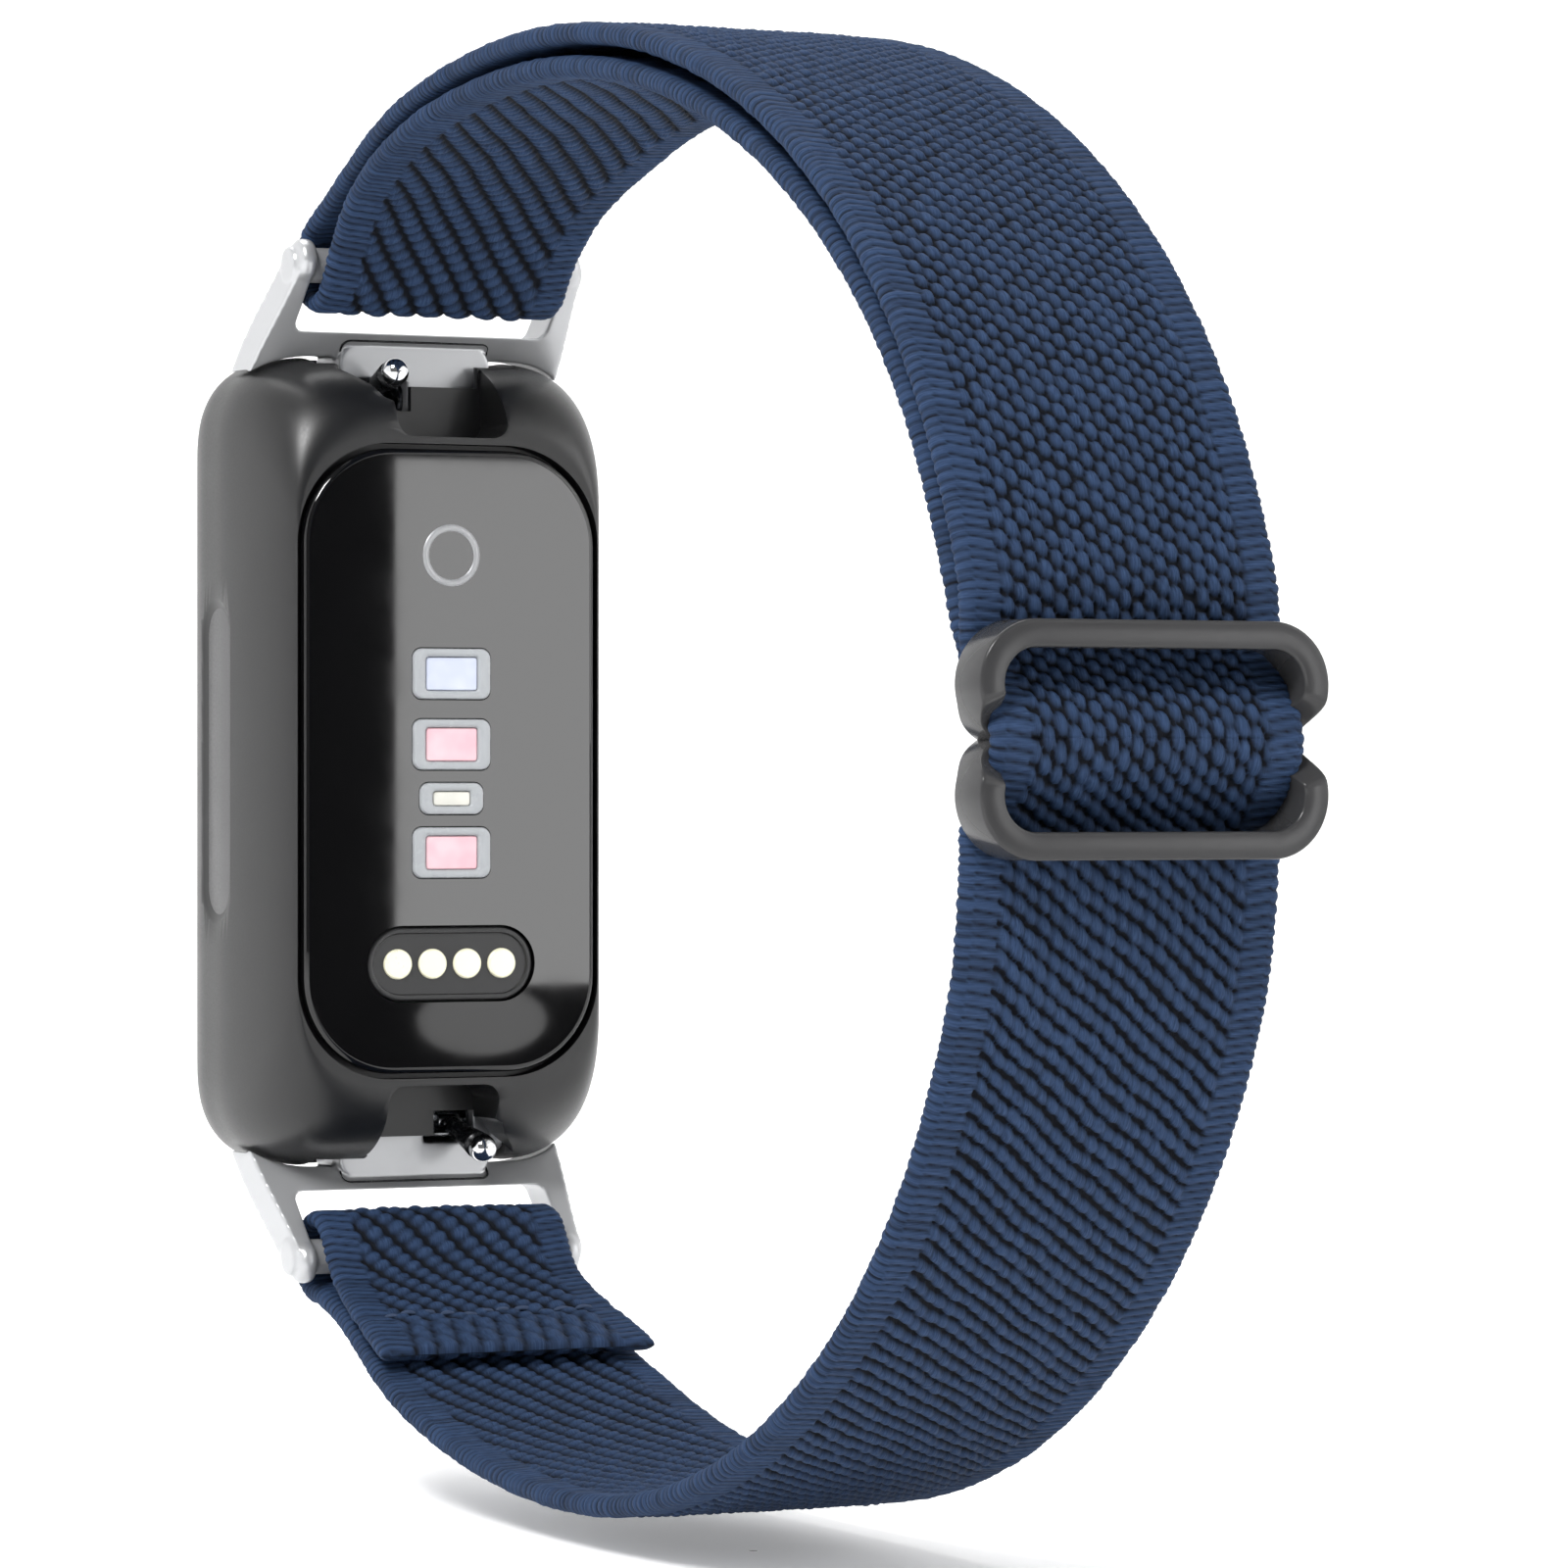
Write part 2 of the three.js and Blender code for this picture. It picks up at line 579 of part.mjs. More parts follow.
function loopShape(side, inset) {
  const radius = SLIDER.halfZ / 2 + SLIDER.overlap - inset;
  const centreZ = SLIDER.z + side * (SLIDER.halfZ / 2 - SLIDER.overlap);
  return roundedRect(SLIDER.halfX - inset, radius, radius - 0.01, 0, centreZ);
}

function sliderFrame() {
  const depth = SLIDER.back - SLIDER.front;
  const bevel = 0.4;
  const loops = [-1, 1].map((side) => {
    const geometry = new THREE.ExtrudeGeometry(loopShape(side, bevel), {
      depth: depth - 2 * bevel,
      bevelThickness: bevel,
      bevelSize: bevel,
      bevelSegments: 2,
      curveSegments: 6,
    });
    return geometry.rotateX(Math.PI / 2).translate(0, SLIDER.back - bevel, 0);
  });
  const windows = [-1, 1].map((side) =>
    slab(loopShape(side, SLIDER.rim), SLIDER.front - 1, SLIDER.back + 1, 6));
  const low = SLIDER.z - SADDLE.halfZ;
  const high = SLIDER.z + SADDLE.halfZ;
  const saddle = box(-SADDLE.halfX, SADDLE.halfX, SLIDER.front - 1, SLIDER.back + 1, low, high);
  const bar = rodAlongX(MIDDLE_BAR.radius, -MIDDLE_BAR.halfX, MIDDLE_BAR.halfX, MIDDLE_BAR.y, SLIDER.z);
  return join(cut(join(...loops), ...windows, saddle), bar);
}

// ---- Assembly -------------------------------------------------------------------------------

const band = new THREE.Group();

function place(parent, name, geometry, finish) {
  const mesh = new THREE.Mesh(geometry, finish);
  mesh.name = name;
  parent.add(mesh);
}

function addTracker(parent) {
  place(parent, 'case_body', caseBody(), satinBlack());
  place(parent, 'back_plate', backPlate(), glossBlack());
  WINDOWS.forEach((spec, i) => {
    place(parent, `sensor_bezel_${i + 1}`, sensorBezel(spec), clearLens());
    place(parent, `sensor_window_${i + 1}`, sensorWindow(spec), material(spec.glow, 0.2, 0));
  });
  place(parent, 'contact_pad', contactPad(), softBlack());
  for (let i = 0; i < 4; i += 1) {
    place(parent, `charge_contact_${i + 1}`, chargeContact(i), gold());
  }
  place(parent, 'squeeze_pad_left', squeezePad(-1), satinBlack());
  place(parent, 'squeeze_pad_right', squeezePad(1), satinBlack());
  place(parent, 'sensor_board', sensorBoard(), circuitGreen());
  place(parent, 'battery', battery(), cellFoil());
  place(parent, 'main_board', mainBoard(), circuitGreen());
  place(parent, 'vibration_motor', vibrationMotor(), polishedSteel());
  place(parent, 'display_panel', displayPanel(), glossBlack());
  place(parent, 'display_gasket', displayGasket(), softBlack());
  place(parent, 'display_glass', displayGlass(), glossBlack());
}

function addAdapter(parent, end) {
  place(parent, `${end}_adapter_frame`, adapterFrame(), satinSilver());
  place(parent, `${end}_spring_bar_tube`, springBarTube(), polishedSteel());
  place(parent, `${end}_fixed_tip`, fixedTip(), polishedSteel());
  place(parent, `${end}_release_spring`, releaseSpring(), polishedSteel());
  place(parent, `${end}_release_pin`, releasePin(), polishedSteel());
  place(parent, `${end}_lever_stalk`, leverStalk(), blackMetal());
  place(parent, `${end}_lever_ball`, leverBall(), polishedSteel());
}

function addStrap(parent) {
  place(parent, 'strap_outer_upper', strapOuterUpper(), webbing());
  place(parent, 'strap_inner_upper', strapInnerUpper(), webbing());
  place(parent, 'strap_lower', strapLower(), webbing());
  place(parent, 'strap_upper_loop', strapUpperLoop(), webbing());
  place(parent, 'strap_lower_loop', strapLowerLoop(), webbing());
  place(parent, 'strap_tail', strapTail(), webbing());
  place(parent, 'tail_seam', seam(28.9, -26.05, SEAM_RADIUS), thread());
  const top = SLIDER.z + SLIDER.halfZ + 0.3;
  const low = SLIDER.z - SLIDER.halfZ - 0.3;
  place(parent, 'strap_outer_feed', feed(OVAL_TOP, TOP_STOP, HALF, [BEHIND_SLIDER, top]), webbing());
  place(parent, 'strap_inner_feed', feed(OVAL_TOP, TOP_STOP, INNER_INSET, [SEWN_LAYER_Y, top]), webbing());
  place(parent, 'strap_lower_feed', feed(OVAL_LOW, LOW_STOP, HALF, [BEHIND_SLIDER, low]), webbing());
}

function addSlider(parent) {
  place(parent, 'slider_frame', sliderFrame(), gunmetal());
  place(parent, 'strap_slider_hump', strapSliderHump(), webbing());
  place(parent, 'strap_sewn_end', strapSewnEnd(), webbing());
  place(parent, 'sewn_end_seam', seam(SEWN_LAYER_Y + HALF, SLIDER.z + 3.4, SEAM_RADIUS), thread());
}

const lowerEnd = new THREE.Group();
lowerEnd.rotation.y = Math.PI;
addTracker(band);
addAdapter(band, 'upper');
addAdapter(lowerEnd, 'lower');
band.add(lowerEnd);
addStrap(band);
addSlider(band);

export default band;
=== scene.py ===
import math

import bmesh
import bpy
import numpy as np
from mathutils import Matrix, Vector


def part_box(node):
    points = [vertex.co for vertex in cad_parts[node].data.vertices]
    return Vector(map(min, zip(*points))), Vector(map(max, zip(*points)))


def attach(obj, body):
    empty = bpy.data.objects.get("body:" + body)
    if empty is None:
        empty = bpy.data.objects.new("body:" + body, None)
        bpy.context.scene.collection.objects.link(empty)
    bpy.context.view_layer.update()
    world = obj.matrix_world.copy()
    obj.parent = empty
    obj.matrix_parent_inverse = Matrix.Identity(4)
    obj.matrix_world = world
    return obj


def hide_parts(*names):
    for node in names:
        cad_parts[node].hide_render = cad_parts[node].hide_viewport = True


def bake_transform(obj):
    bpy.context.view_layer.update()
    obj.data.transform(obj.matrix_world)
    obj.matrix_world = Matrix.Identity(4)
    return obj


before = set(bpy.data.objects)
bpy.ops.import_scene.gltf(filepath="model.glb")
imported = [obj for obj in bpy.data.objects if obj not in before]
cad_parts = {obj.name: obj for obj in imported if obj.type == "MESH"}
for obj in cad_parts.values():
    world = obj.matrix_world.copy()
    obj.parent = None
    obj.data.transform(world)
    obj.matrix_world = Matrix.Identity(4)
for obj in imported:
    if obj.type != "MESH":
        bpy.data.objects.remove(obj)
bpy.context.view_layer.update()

MM = 0.001  # the scene is in metres
SEED = 7  # of the hashed random numbers

# ---- Dimensions in millimetres, the same as the part's ------------------------------------

case_low, case_high = (np.array(v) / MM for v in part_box("case_body"))
CASE_HALF_X, CASE_HALF_Z = case_high[0], case_high[2]
CASE_BACK, CASE_FRONT = case_low[1], case_high[1]
plate_low, plate_high = (np.array(v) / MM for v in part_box("back_plate"))
glass_low, glass_high = (np.array(v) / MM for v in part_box("display_glass"))
slider_low, slider_high = (np.array(v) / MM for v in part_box("slider_frame"))
SLIDER_Z = (slider_low[2] + slider_high[2]) / 2
SLIDER_FRONT, SLIDER_BACK = slider_low[1], slider_high[1]
HINGE_Y, HINGE_Z = 39.0, 17.6  # the adapter's hinge in the case
BAR_Y, BAR_Z = 35.3, 23.8  # the bar that the strap loops round
STRAP_HALF_X = 6.6  # plain half width, which sets the number of columns
COLUMN_WIDTH = 0.125  # between columns of the woven surface
WEBBING_STEP = 0.11  # between its rows
THICK = 1.05
HALF = THICK / 2
INNER_INSET = THICK + 0.15 + HALF  # from the oval in to the inner layer's middle
LOOP_RADIUS = 2.3 - HALF  # of the webbing's middle round a strap bar
TOP = dict(y=8.7, slider=42.5, tracker=46.1, height=32.4)
LOW = dict(y=4.6, slider=38.4, tracker=46.7, height=-33.0)
BEHIND = SLIDER_BACK + 0.15 + HALF  # the webbing's middle on the slider's skin side
HUMP_HEIGHT = 2.2
MIDDLE_BAR_Y = -33.75
SLIDER_RIM = 1.1  # width of the loops' metal
WAIST_RING = (slider_high[2] - slider_low[2]) / 4 + 0.18  # outer radius of each loop's ends
SLIDER_LOOP_Z = (slider_high[2] - slider_low[2]) / 4 - 0.18
WINDOW_OVERLAP = 0.3  # the webbing's edges are pressed this far into the loops' metal

# ---- Mesh helpers -------------------------------------------------------------------------

def grid_mesh(name, grid, material, closed_across=True, caps=True):
    """A surface from grid[row][column] points, closed round each row, with its ends capped."""
    rows, cols = grid.shape[:2]
    index = np.arange(rows * cols).reshape(rows, cols)
    right = np.roll(index, -1, axis=1)
    a, b, c, d = index[:-1], right[:-1], right[1:], index[1:]
    if not closed_across:
        a, b, c, d = (v[:, :-1] for v in (a, b, c, d))
    quads = np.stack([a, d, c, b], axis=-1).reshape(-1, 4)
    points = grid.reshape(-1, 3) * MM
    mesh = bpy.data.meshes.new(name)
    mesh.vertices.add(len(points))
    mesh.vertices.foreach_set("co", points.astype(np.float32).ravel())
    ends = [index[0], index[-1][::-1]] if caps else []
    loops = np.concatenate([quads.ravel(), *ends]) if caps else quads.ravel()
    starts = np.arange(0, quads.size, 4)
    totals = np.full(len(quads), 4)
    for end in ends:
        starts = np.append(starts, starts[-1] + totals[-1])
        totals = np.append(totals, len(end))
    mesh.loops.add(len(loops))
    mesh.loops.foreach_set("vertex_index", loops.astype(np.int32))
    mesh.polygons.add(len(starts))
    mesh.polygons.foreach_set("loop_start", starts.astype(np.int32))
    mesh.polygons.foreach_set("loop_total", totals.astype(np.int32))
    mesh.update(calc_edges=True)
    mesh.validate()
    mesh.shade_smooth()
    obj = bpy.data.objects.new(name, mesh)
    bpy.context.scene.collection.objects.link(obj)
    mesh.materials.append(material)
    return obj


def apply_modifiers(obj):
    """The object's mesh becomes what its modifiers make of it."""
    bpy.context.view_layer.update()
    evaluated = obj.evaluated_get(bpy.context.evaluated_depsgraph_get())
    mesh = bpy.data.meshes.new_from_object(evaluated)
    obj.modifiers.clear()
    obj.data = mesh
    return obj


def turn_angles(count):
    """Evenly spaced angles once round a circle."""
    return np.linspace(0, 2 * math.pi, count + 1)[:-1]


def smoothstep(low, high, value):
    t = np.clip((value - low) / (high - low), 0, 1)
    return t * t * (3 - 2 * t)


def hashed(i, j, salt):
    """A repeatable random number from 0 to 1 for each pair of whole numbers."""
    value = np.sin(i * 12.9898 + j * 78.233 + salt * 37.719 + SEED) * 43758.5453
    return value - np.floor(value)


# ---- Materials ----------------------------------------------------------------------------

def linear(red, green, blue):
    """An sRGB colour from 0 to 255 as Blender's linear colour."""
    parts = [c / 255 for c in (red, green, blue)]
    return [c / 12.92 if c <= 0.04045 else ((c + 0.055) / 1.055) ** 2.4 for c in parts] + [1]


class Shader:
    """A Principled material with a few helpers for adding texture nodes."""

    def __init__(self, name, color, roughness, metallic=0.0, **sockets):
        self.material = bpy.data.materials.new(name)
        self.material.use_nodes = True
        self.nodes = self.material.node_tree.nodes
        self.links = self.material.node_tree.links
        self.bsdf = self.nodes["Principled BSDF"]
        self.set("Base Color", color)
        self.set("Roughness", roughness)
        self.set("Metallic", metallic)
        for socket, value in sockets.items():
            self.set(socket.replace("_", " "), value)

    def set(self, socket, value):
        self.bsdf.inputs[socket].default_value = value

    def node(self, kind, **values):
        node = self.nodes.new(kind)
        for key, value in values.items():
            if key in node.inputs:
                node.inputs[key].default_value = value
            else:
                setattr(node, key, value)
        return node

    def link(self, source, target):
        self.links.new(source, target)

    def coordinates(self, scale):
        coordinate = self.node("ShaderNodeTexCoord")
        mapping = self.node("ShaderNodeMapping")
        mapping.inputs["Scale"].default_value = scale
        self.link(coordinate.outputs["Object"], mapping.inputs["Vector"])
        return mapping.outputs["Vector"]

    def noise(self, vector, scale, detail=3.0, roughness=0.6):
        noise = self.node("ShaderNodeTexNoise", Scale=scale, Detail=detail, Roughness=roughness)
        self.link(vector, noise.inputs["Vector"])
        return noise.outputs["Fac"]

    def remap(self, value, low, high, to_low, to_high):
        remap = self.node("ShaderNodeMapRange")
        for key, number in zip(("From Min", "From Max", "To Min", "To Max"), (low, high, to_low, to_high)):
            remap.inputs[key].default_value = number
        self.link(value, remap.inputs["Value"])
        return remap.outputs["Result"]

    def math(self, operation, a, b):
        node = self.node("ShaderNodeMath", operation=operation)
        for socket, value in zip(node.inputs, (a, b)):
            if isinstance(value, (int, float)):
                socket.default_value = value
            else:
                self.link(value, socket)
        return node.outputs[0]

    def mix(self, factor, a, b):
        node = self.node("ShaderNodeMix", data_type="RGBA")
        for name, value in (("Factor", factor), ("A", a), ("B", b)):
            socket = [s for s in node.inputs if s.name == name and s.enabled][0]
            if isinstance(value, (int, float, list)):
                socket.default_value = value
            else:
                self.link(value, socket)
        return [s for s in node.outputs if s.enabled][0]

    def bump(self, height, strength, distance):
        bump = self.node("ShaderNodeBump", Strength=strength, Distance=distance)
        self.link(height, bump.inputs["Height"])
        self.link(bump.outputs["Normal"], self.bsdf.inputs["Normal"])


def grainy(name, color, roughness, metallic=0.0, grain=9000, spread=0.06, bump=0.05, **sockets):
    """A moulded or cast finish: fine grain in its gloss and surface."""
    shader = Shader(name, color, roughness, metallic, **sockets)
    vector = shader.coordinates((1, 1, 1))
    fine = shader.noise(vector, grain)
    broad = shader.noise(vector, 260, 2.0)
    rough = shader.math("ADD", shader.remap(fine, 0.3, 0.7, -spread, spread), roughness)
    rough = shader.math("ADD", rough, shader.remap(broad, 0.3, 0.7, -spread / 2, spread / 2))
    shader.link(rough, shader.bsdf.inputs["Roughness"])
    if bump:
        shader.bump(fine, bump, 0.00002)
    return shader.material


def webbing_material():
    """Woven nylon, coloured by the tint and edge mask that the mesh carries, with painted shade darkening the
    valleys between the loops by the loop depth it also carries.
    """
    shader = Shader("woven nylon", linear(52, 70, 99), 0.78)
    shader.set("Specular IOR Level", 0.16)
    uv = shader.node("ShaderNodeUVMap", uv_map="strap")
    weave = shader.node("ShaderNodeAttribute", attribute_name="weave", attribute_type="GEOMETRY")
    parts = shader.node("ShaderNodeSeparateColor")
    shader.link(weave.outputs["Color"], parts.inputs["Color"])
    depth, tint, edge = parts.outputs

    def fibres(scale):
        mapping = shader.node("ShaderNodeMapping")
        mapping.inputs["Scale"].default_value = scale
        shader.link(uv.outputs["UV"], mapping.inputs["Vector"])
        return shader.noise(mapping.outputs["Vector"], 1.0, 2.0, 0.55)

    along = fibres((15.0, 1.7, 1))
    across = fibres((1.2, 15.0, 1))
    streak = shader.mix(edge, along, across)
    # Painted shade: a near-black colour for the valleys between the thread loops, mixed in where the loop depth
    # is low.
    painted_valley_shade = linear(3, 7, 16)
    body = shader.mix(shader.remap(streak, 0.3, 0.72, 0, 1), linear(25, 40, 65), linear(47, 67, 98))
    body = shader.mix(tint, body, linear(36, 54, 82))
    color = shader.mix(shader.remap(depth, 0.25, 0.92, 0, 1), painted_valley_shade, body)
    shader.link(color, shader.bsdf.inputs["Base Color"])
    shader.bump(streak, 0.55, 0.00006)
    return shader.material


def lens_material():
    """The frosted clear plastic of the bezels."""
    shader = Shader("sensor bezel", linear(158, 161, 164), 0.25)
    shader.set("Specular IOR Level", 0.3)
    vector = shader.coordinates((1, 1, 1))
    shader.link(shader.remap(shader.noise(vector, 900), 0.3, 0.7, 0.2, 0.32), shader.bsdf.inputs["Roughness"])
    return shader.material


def window_material(name, color, second):
    """The frosted, faintly tinted pane of a sensor window."""
    shader = Shader(name, color, 0.45)
    shader.set("Specular IOR Level", 0.15)
    vector = shader.coordinates((1, 1, 1))
    mottled = shader.mix(shader.remap(shader.noise(vector, 900, 1.0), 0.35, 0.65, 0, 1), color, second)
    shader.link(mottled, shader.bsdf.inputs["Base Color"])
    return shader.material


WEBBING = webbing_material()
CASE_BLACK = grainy("case plastic", linear(17, 17, 18), 0.36, spread=0.04, bump=0.06)
PAD_BLACK = grainy("squeeze pad", linear(68, 68, 69), 0.38, grain=7000, bump=0.1)
GLOSS_BLACK = grainy("gloss back plate", linear(9, 9, 10), 0.025, spread=0.005, bump=0.0, grain=500)
RUBBER = grainy("contact pad", linear(33, 33, 34), 0.4, bump=0.08)
GOLD = grainy("contact face", linear(236, 233, 205), 0.32, 0.25, grain=3000, bump=0.08)
SILVER = grainy("satin adapter", linear(178, 179, 181), 0.32, 0.55, grain=2500, spread=0.03, bump=0.0)
STEEL = grainy("polished ball", linear(214, 215, 217), 0.07, 1.0, grain=1500, spread=0.02, bump=0.0)
PIN_STEEL = grainy("pin steel", linear(178, 180, 183), 0.2, 1.0, grain=4000, spread=0.05, bump=0.05)
LEVER = grainy("lever", linear(24, 25, 27), 0.28, 0.5, grain=4000)
GUNMETAL = grainy("slider", linear(50, 50, 51), 0.2, grain=3500, spread=0.02, bump=0.0,
                  Specular_IOR_Level=0.24)
DISPLAY = grainy("display glass", linear(6, 6, 8), 0.05, spread=0.01, bump=0.0, grain=400)
BEZEL = lens_material()
WINDOWS = [
    window_material("blue window", linear(188, 194, 212), linear(198, 203, 217)),
    window_material("pink window", linear(222, 176, 185), linear(226, 190, 196)),
    window_material("white window", linear(206, 205, 197), linear(216, 214, 205)),
]
CIRCUIT = grainy("circuit board", linear(22, 66, 45), 0.45, grain=2500, bump=0.1)
FOIL = grainy("battery foil", linear(160, 162, 166), 0.35, 0.7, grain=1200, bump=0.15)
MARK = grainy("ring mark", linear(150, 151, 153), 0.4, 0.3, grain=2500, bump=0.0)
THREAD = grainy("thread", linear(38, 54, 80), 0.8, grain=6000, bump=0.3)


# ---- Strap path ---------------------------------------------------------------------------

def oval_point(oval, degrees, inset):
    """A point (y, z) on the strap's oval: 0 degrees is the tracker's side, 180 the slider's."""
    angle = math.radians(degrees)
    radius = oval["slider"] if math.cos(angle) < 0 else oval["tracker"]
    normal = np.array([math.cos(angle) / radius, math.sin(angle) / oval["height"]])
    normal /= np.linalg.norm(normal)
    return np.array([oval["y"] + radius * math.cos(angle), oval["height"] * math.sin(angle)]) - normal * inset


def oval_path(oval, start, end, inset, steps):
    return [oval_point(oval, d, inset) for d in np.linspace(start, end, steps)]


def arc_path(y, z, radius, start, end, steps):
    angles = np.radians(np.linspace(start, end, steps))
    return [np.array([y + radius * math.cos(a), z + radius * math.sin(a)]) for a in angles]


def hump_path(start, end, steps):
    """Over the slider's middle bar, from one window to the other."""
    path = []
    for z in np.linspace(start, end, steps):
        bump = 0.5 + 0.5 * math.cos(math.pi * min(abs(z) / 3.9, 1))
        path.append(np.array([BEHIND - HUMP_HEIGHT * bump, SLIDER_Z + z]))
    return path


def strap_control_points():
    """The middle of the webbing from its sewn end, up inside to the upper adapter, back down
    the outside, over the slider, round the bottom and through the lower adapter to its tail."""
    pts = arc_path(MIDDLE_BAR_Y, SLIDER_Z, 0.8, 120, 350, 14)
    pts += [np.array([y, SLIDER_Z + up]) for y, up in ((-32.85, 0.95), (-32.4, 2.4), (-31.8, 4.65))]
    pts += [oval_point(TOP, 160, INNER_INSET)]
    for degrees in np.linspace(154, 74, 44):
        slack = 0.32 * math.sin(math.pi * (degrees - 74) / 80)
        pts.append(oval_point(TOP, degrees, INNER_INSET + slack))
    pts += [np.array(p) for p in ([24.6, 28.55], [27.6, 27.55], [30.4, 26.2], [32.6, 24.35])]
    pts += arc_path(BAR_Y, BAR_Z, LOOP_RADIUS, -140, 58, 18)
    pts += oval_path(TOP, 53, 154, HALF, 56)
    pts += [oval_point(TOP, 160, HALF), np.array([BEHIND + 0.06, SLIDER_Z + 5.9])]
    pts += hump_path(4.3, -4.3, 19)
    pts += [np.array([BEHIND + 0.08, SLIDER_Z - 5.6]), oval_point(LOW, 164, HALF)]
    pts += oval_path(LOW, 158, 61, HALF, 54)
    pts += [np.array(p) for p in ([29.6, -27.35], [31.6, -26.55], [33.4, -26.0])]
    pts += arc_path(BAR_Y, -BAR_Z, LOOP_RADIUS, -96, 150, 22)
    pts += [np.array(p) for p in ([33.1, -23.95], [32.0, -24.95], [30.2, -25.85], [28.4, -26.5],
                                  [26.6, -27.15], [24.9, -27.75])]
    return np.array(pts)


def catmull(points, step):
    """A smooth line through points, as evenly spaced points."""
    dense = []
    padded = np.vstack([2 * points[0] - points[1], points, 2 * points[-1] - points[-2]])
    for i in range(1, len(padded) - 2):
        p0, p1, p2, p3 = padded[i - 1 : i + 3]
        t0 = 0.0
        t1 = t0 + max(np.linalg.norm(p1 - p0), 1e-6) ** 0.5
        t2 = t1 + max(np.linalg.norm(p2 - p1), 1e-6) ** 0.5
        t3 = t2 + max(np.linalg.norm(p3 - p2), 1e-6) ** 0.5
        t = np.linspace(t1, t2, 24, endpoint=False)[:, None]
        a1 = (t1 - t) / (t1 - t0) * p0 + (t - t0) / (t1 - t0) * p1
        a2 = (t2 - t) / (t2 - t1) * p1 + (t - t1) / (t2 - t1) * p2
        a3 = (t3 - t) / (t3 - t2) * p2 + (t - t2) / (t3 - t2) * p3
        b1 = (t2 - t) / (t2 - t0) * a1 + (t - t0) / (t2 - t0) * a2
        b2 = (t3 - t) / (t3 - t1) * a2 + (t - t1) / (t3 - t1) * a3
        dense.append((t2 - t) / (t2 - t1) * b1 + (t - t1) / (t2 - t1) * b2)
    dense = np.vstack([*dense, points[-1:]])
    length = np.concatenate([[0], np.cumsum(np.linalg.norm(np.diff(dense, axis=0), axis=1))])
    even = np.linspace(0, length[-1], int(length[-1] / step) + 1)
    return np.stack([np.interp(even, length, dense[:, k]) for k in (0, 1)], axis=1), even


PATH, ALONG = catmull(strap_control_points(), WEBBING_STEP)


def softened(values, reach):
    """A moving average with a smooth window."""
    kernel = np.hanning(2 * reach + 1)
    kernel /= kernel.sum()
    padded = np.pad(values, (reach, reach), mode="edge")
    return np.convolve(padded, kernel, mode="valid")


def path_normals():
    """The visible side of the webbing at every point of the path."""
    tangent = np.gradient(PATH, axis=0)
    tangent = np.stack([softened(tangent[:, k], 3) for k in (0, 1)], axis=1)
    tangent /= np.linalg.norm(tangent, axis=1, keepdims=True)
    return np.stack([tangent[:, 1], -tangent[:, 0]], axis=1)


NORMAL = path_normals()


def nearest(y, z, after=0.0, before=1e9):
    """How far along the strap its middle passes closest to a point."""
    distance = np.hypot(PATH[:, 0] - y, PATH[:, 1] - z)
    distance[(ALONG < after) | (ALONG > before)] = 1e9
    return ALONG[np.argmin(distance)]


UPPER_BAR = nearest(BAR_Y + LOOP_RADIUS, BAR_Z)
HUMP_TOP = nearest(BEHIND - HUMP_HEIGHT, SLIDER_Z)
LOWER_BAR = nearest(BAR_Y + LOOP_RADIUS, -BAR_Z)
TAIL_SEAM = nearest(28.6, -26.4, LOWER_BAR)
END = ALONG[-1]


# ---- Weave --------------------------------------------------------------------------------

COLUMN = 0.58  # across the strap, between neighbouring columns of loops
REPEAT = 0.88  # along the strap, between loops of one column
ROPE_PITCH = 1.42  # between neighbouring ropes of the wrist face
ROPE_TURN = 0.52  # along a rope, between its thread turns
RIB_PITCH = 0.43  # between the thread turns of the woven edge


def wander(x, s):
    """A slow waviness, so that no row of the weave is perfectly straight."""
    dx = 0.05 * np.sin(s / 3.1 + x / 2.3) + 0.035 * np.sin(s / 1.3 - x / 1.1 + 1)
    ds = 0.07 * np.sin(s / 4.7 - x / 1.7) + 0.05 * np.sin(s / 1.9 + x / 0.9 + 2)
    return x + dx, s + ds


def loops_height(x, s, ribbed):
    """Raised thread loops in staggered columns. Where ribbed is 1 they run together in slanting ribs."""
    x, s = wander(x, s)
    turn = np.radians(8 + 34 * ribbed)
    long_half = 0.44 + 0.15 * ribbed
    short_half = 0.315 - 0.01 * ribbed
    column = np.round(x / COLUMN)
    best = np.full(x.shape, -1.0)
    tint = np.zeros(x.shape)
    for dk in (-1, 0, 1):
        k = column + dk
        offset = 0.5 * np.mod(k, 2)
        row = np.round(s / REPEAT - offset)
        for dm in (-1, 0, 1):
            m = row + dm
            size = 0.93 + 0.14 * hashed(k, m, 1)
            cx = k * COLUMN + 0.07 * (hashed(k, m, 2) - 0.5)
            cs = (m + offset) * REPEAT + 0.09 * (hashed(k, m, 3) - 0.5)
            angle = turn + 0.25 * (hashed(k, m, 4) - 0.5)
            ex, es = x - cx, s - cs
            across = ex * np.cos(angle) - es * np.sin(angle)
            along = ex * np.sin(angle) + es * np.cos(angle)
            r2 = (across / (short_half * size)) ** 2 + (along / (long_half * size)) ** 2
            height = np.sqrt(np.clip(1 - r2, 0, 1)) * (0.9 + 0.2 * hashed(k, m, 5))
            better = height > best
            best = np.where(better, height, best)
            tint = np.where(better, hashed(k, m, 6), tint)
    return best, tint


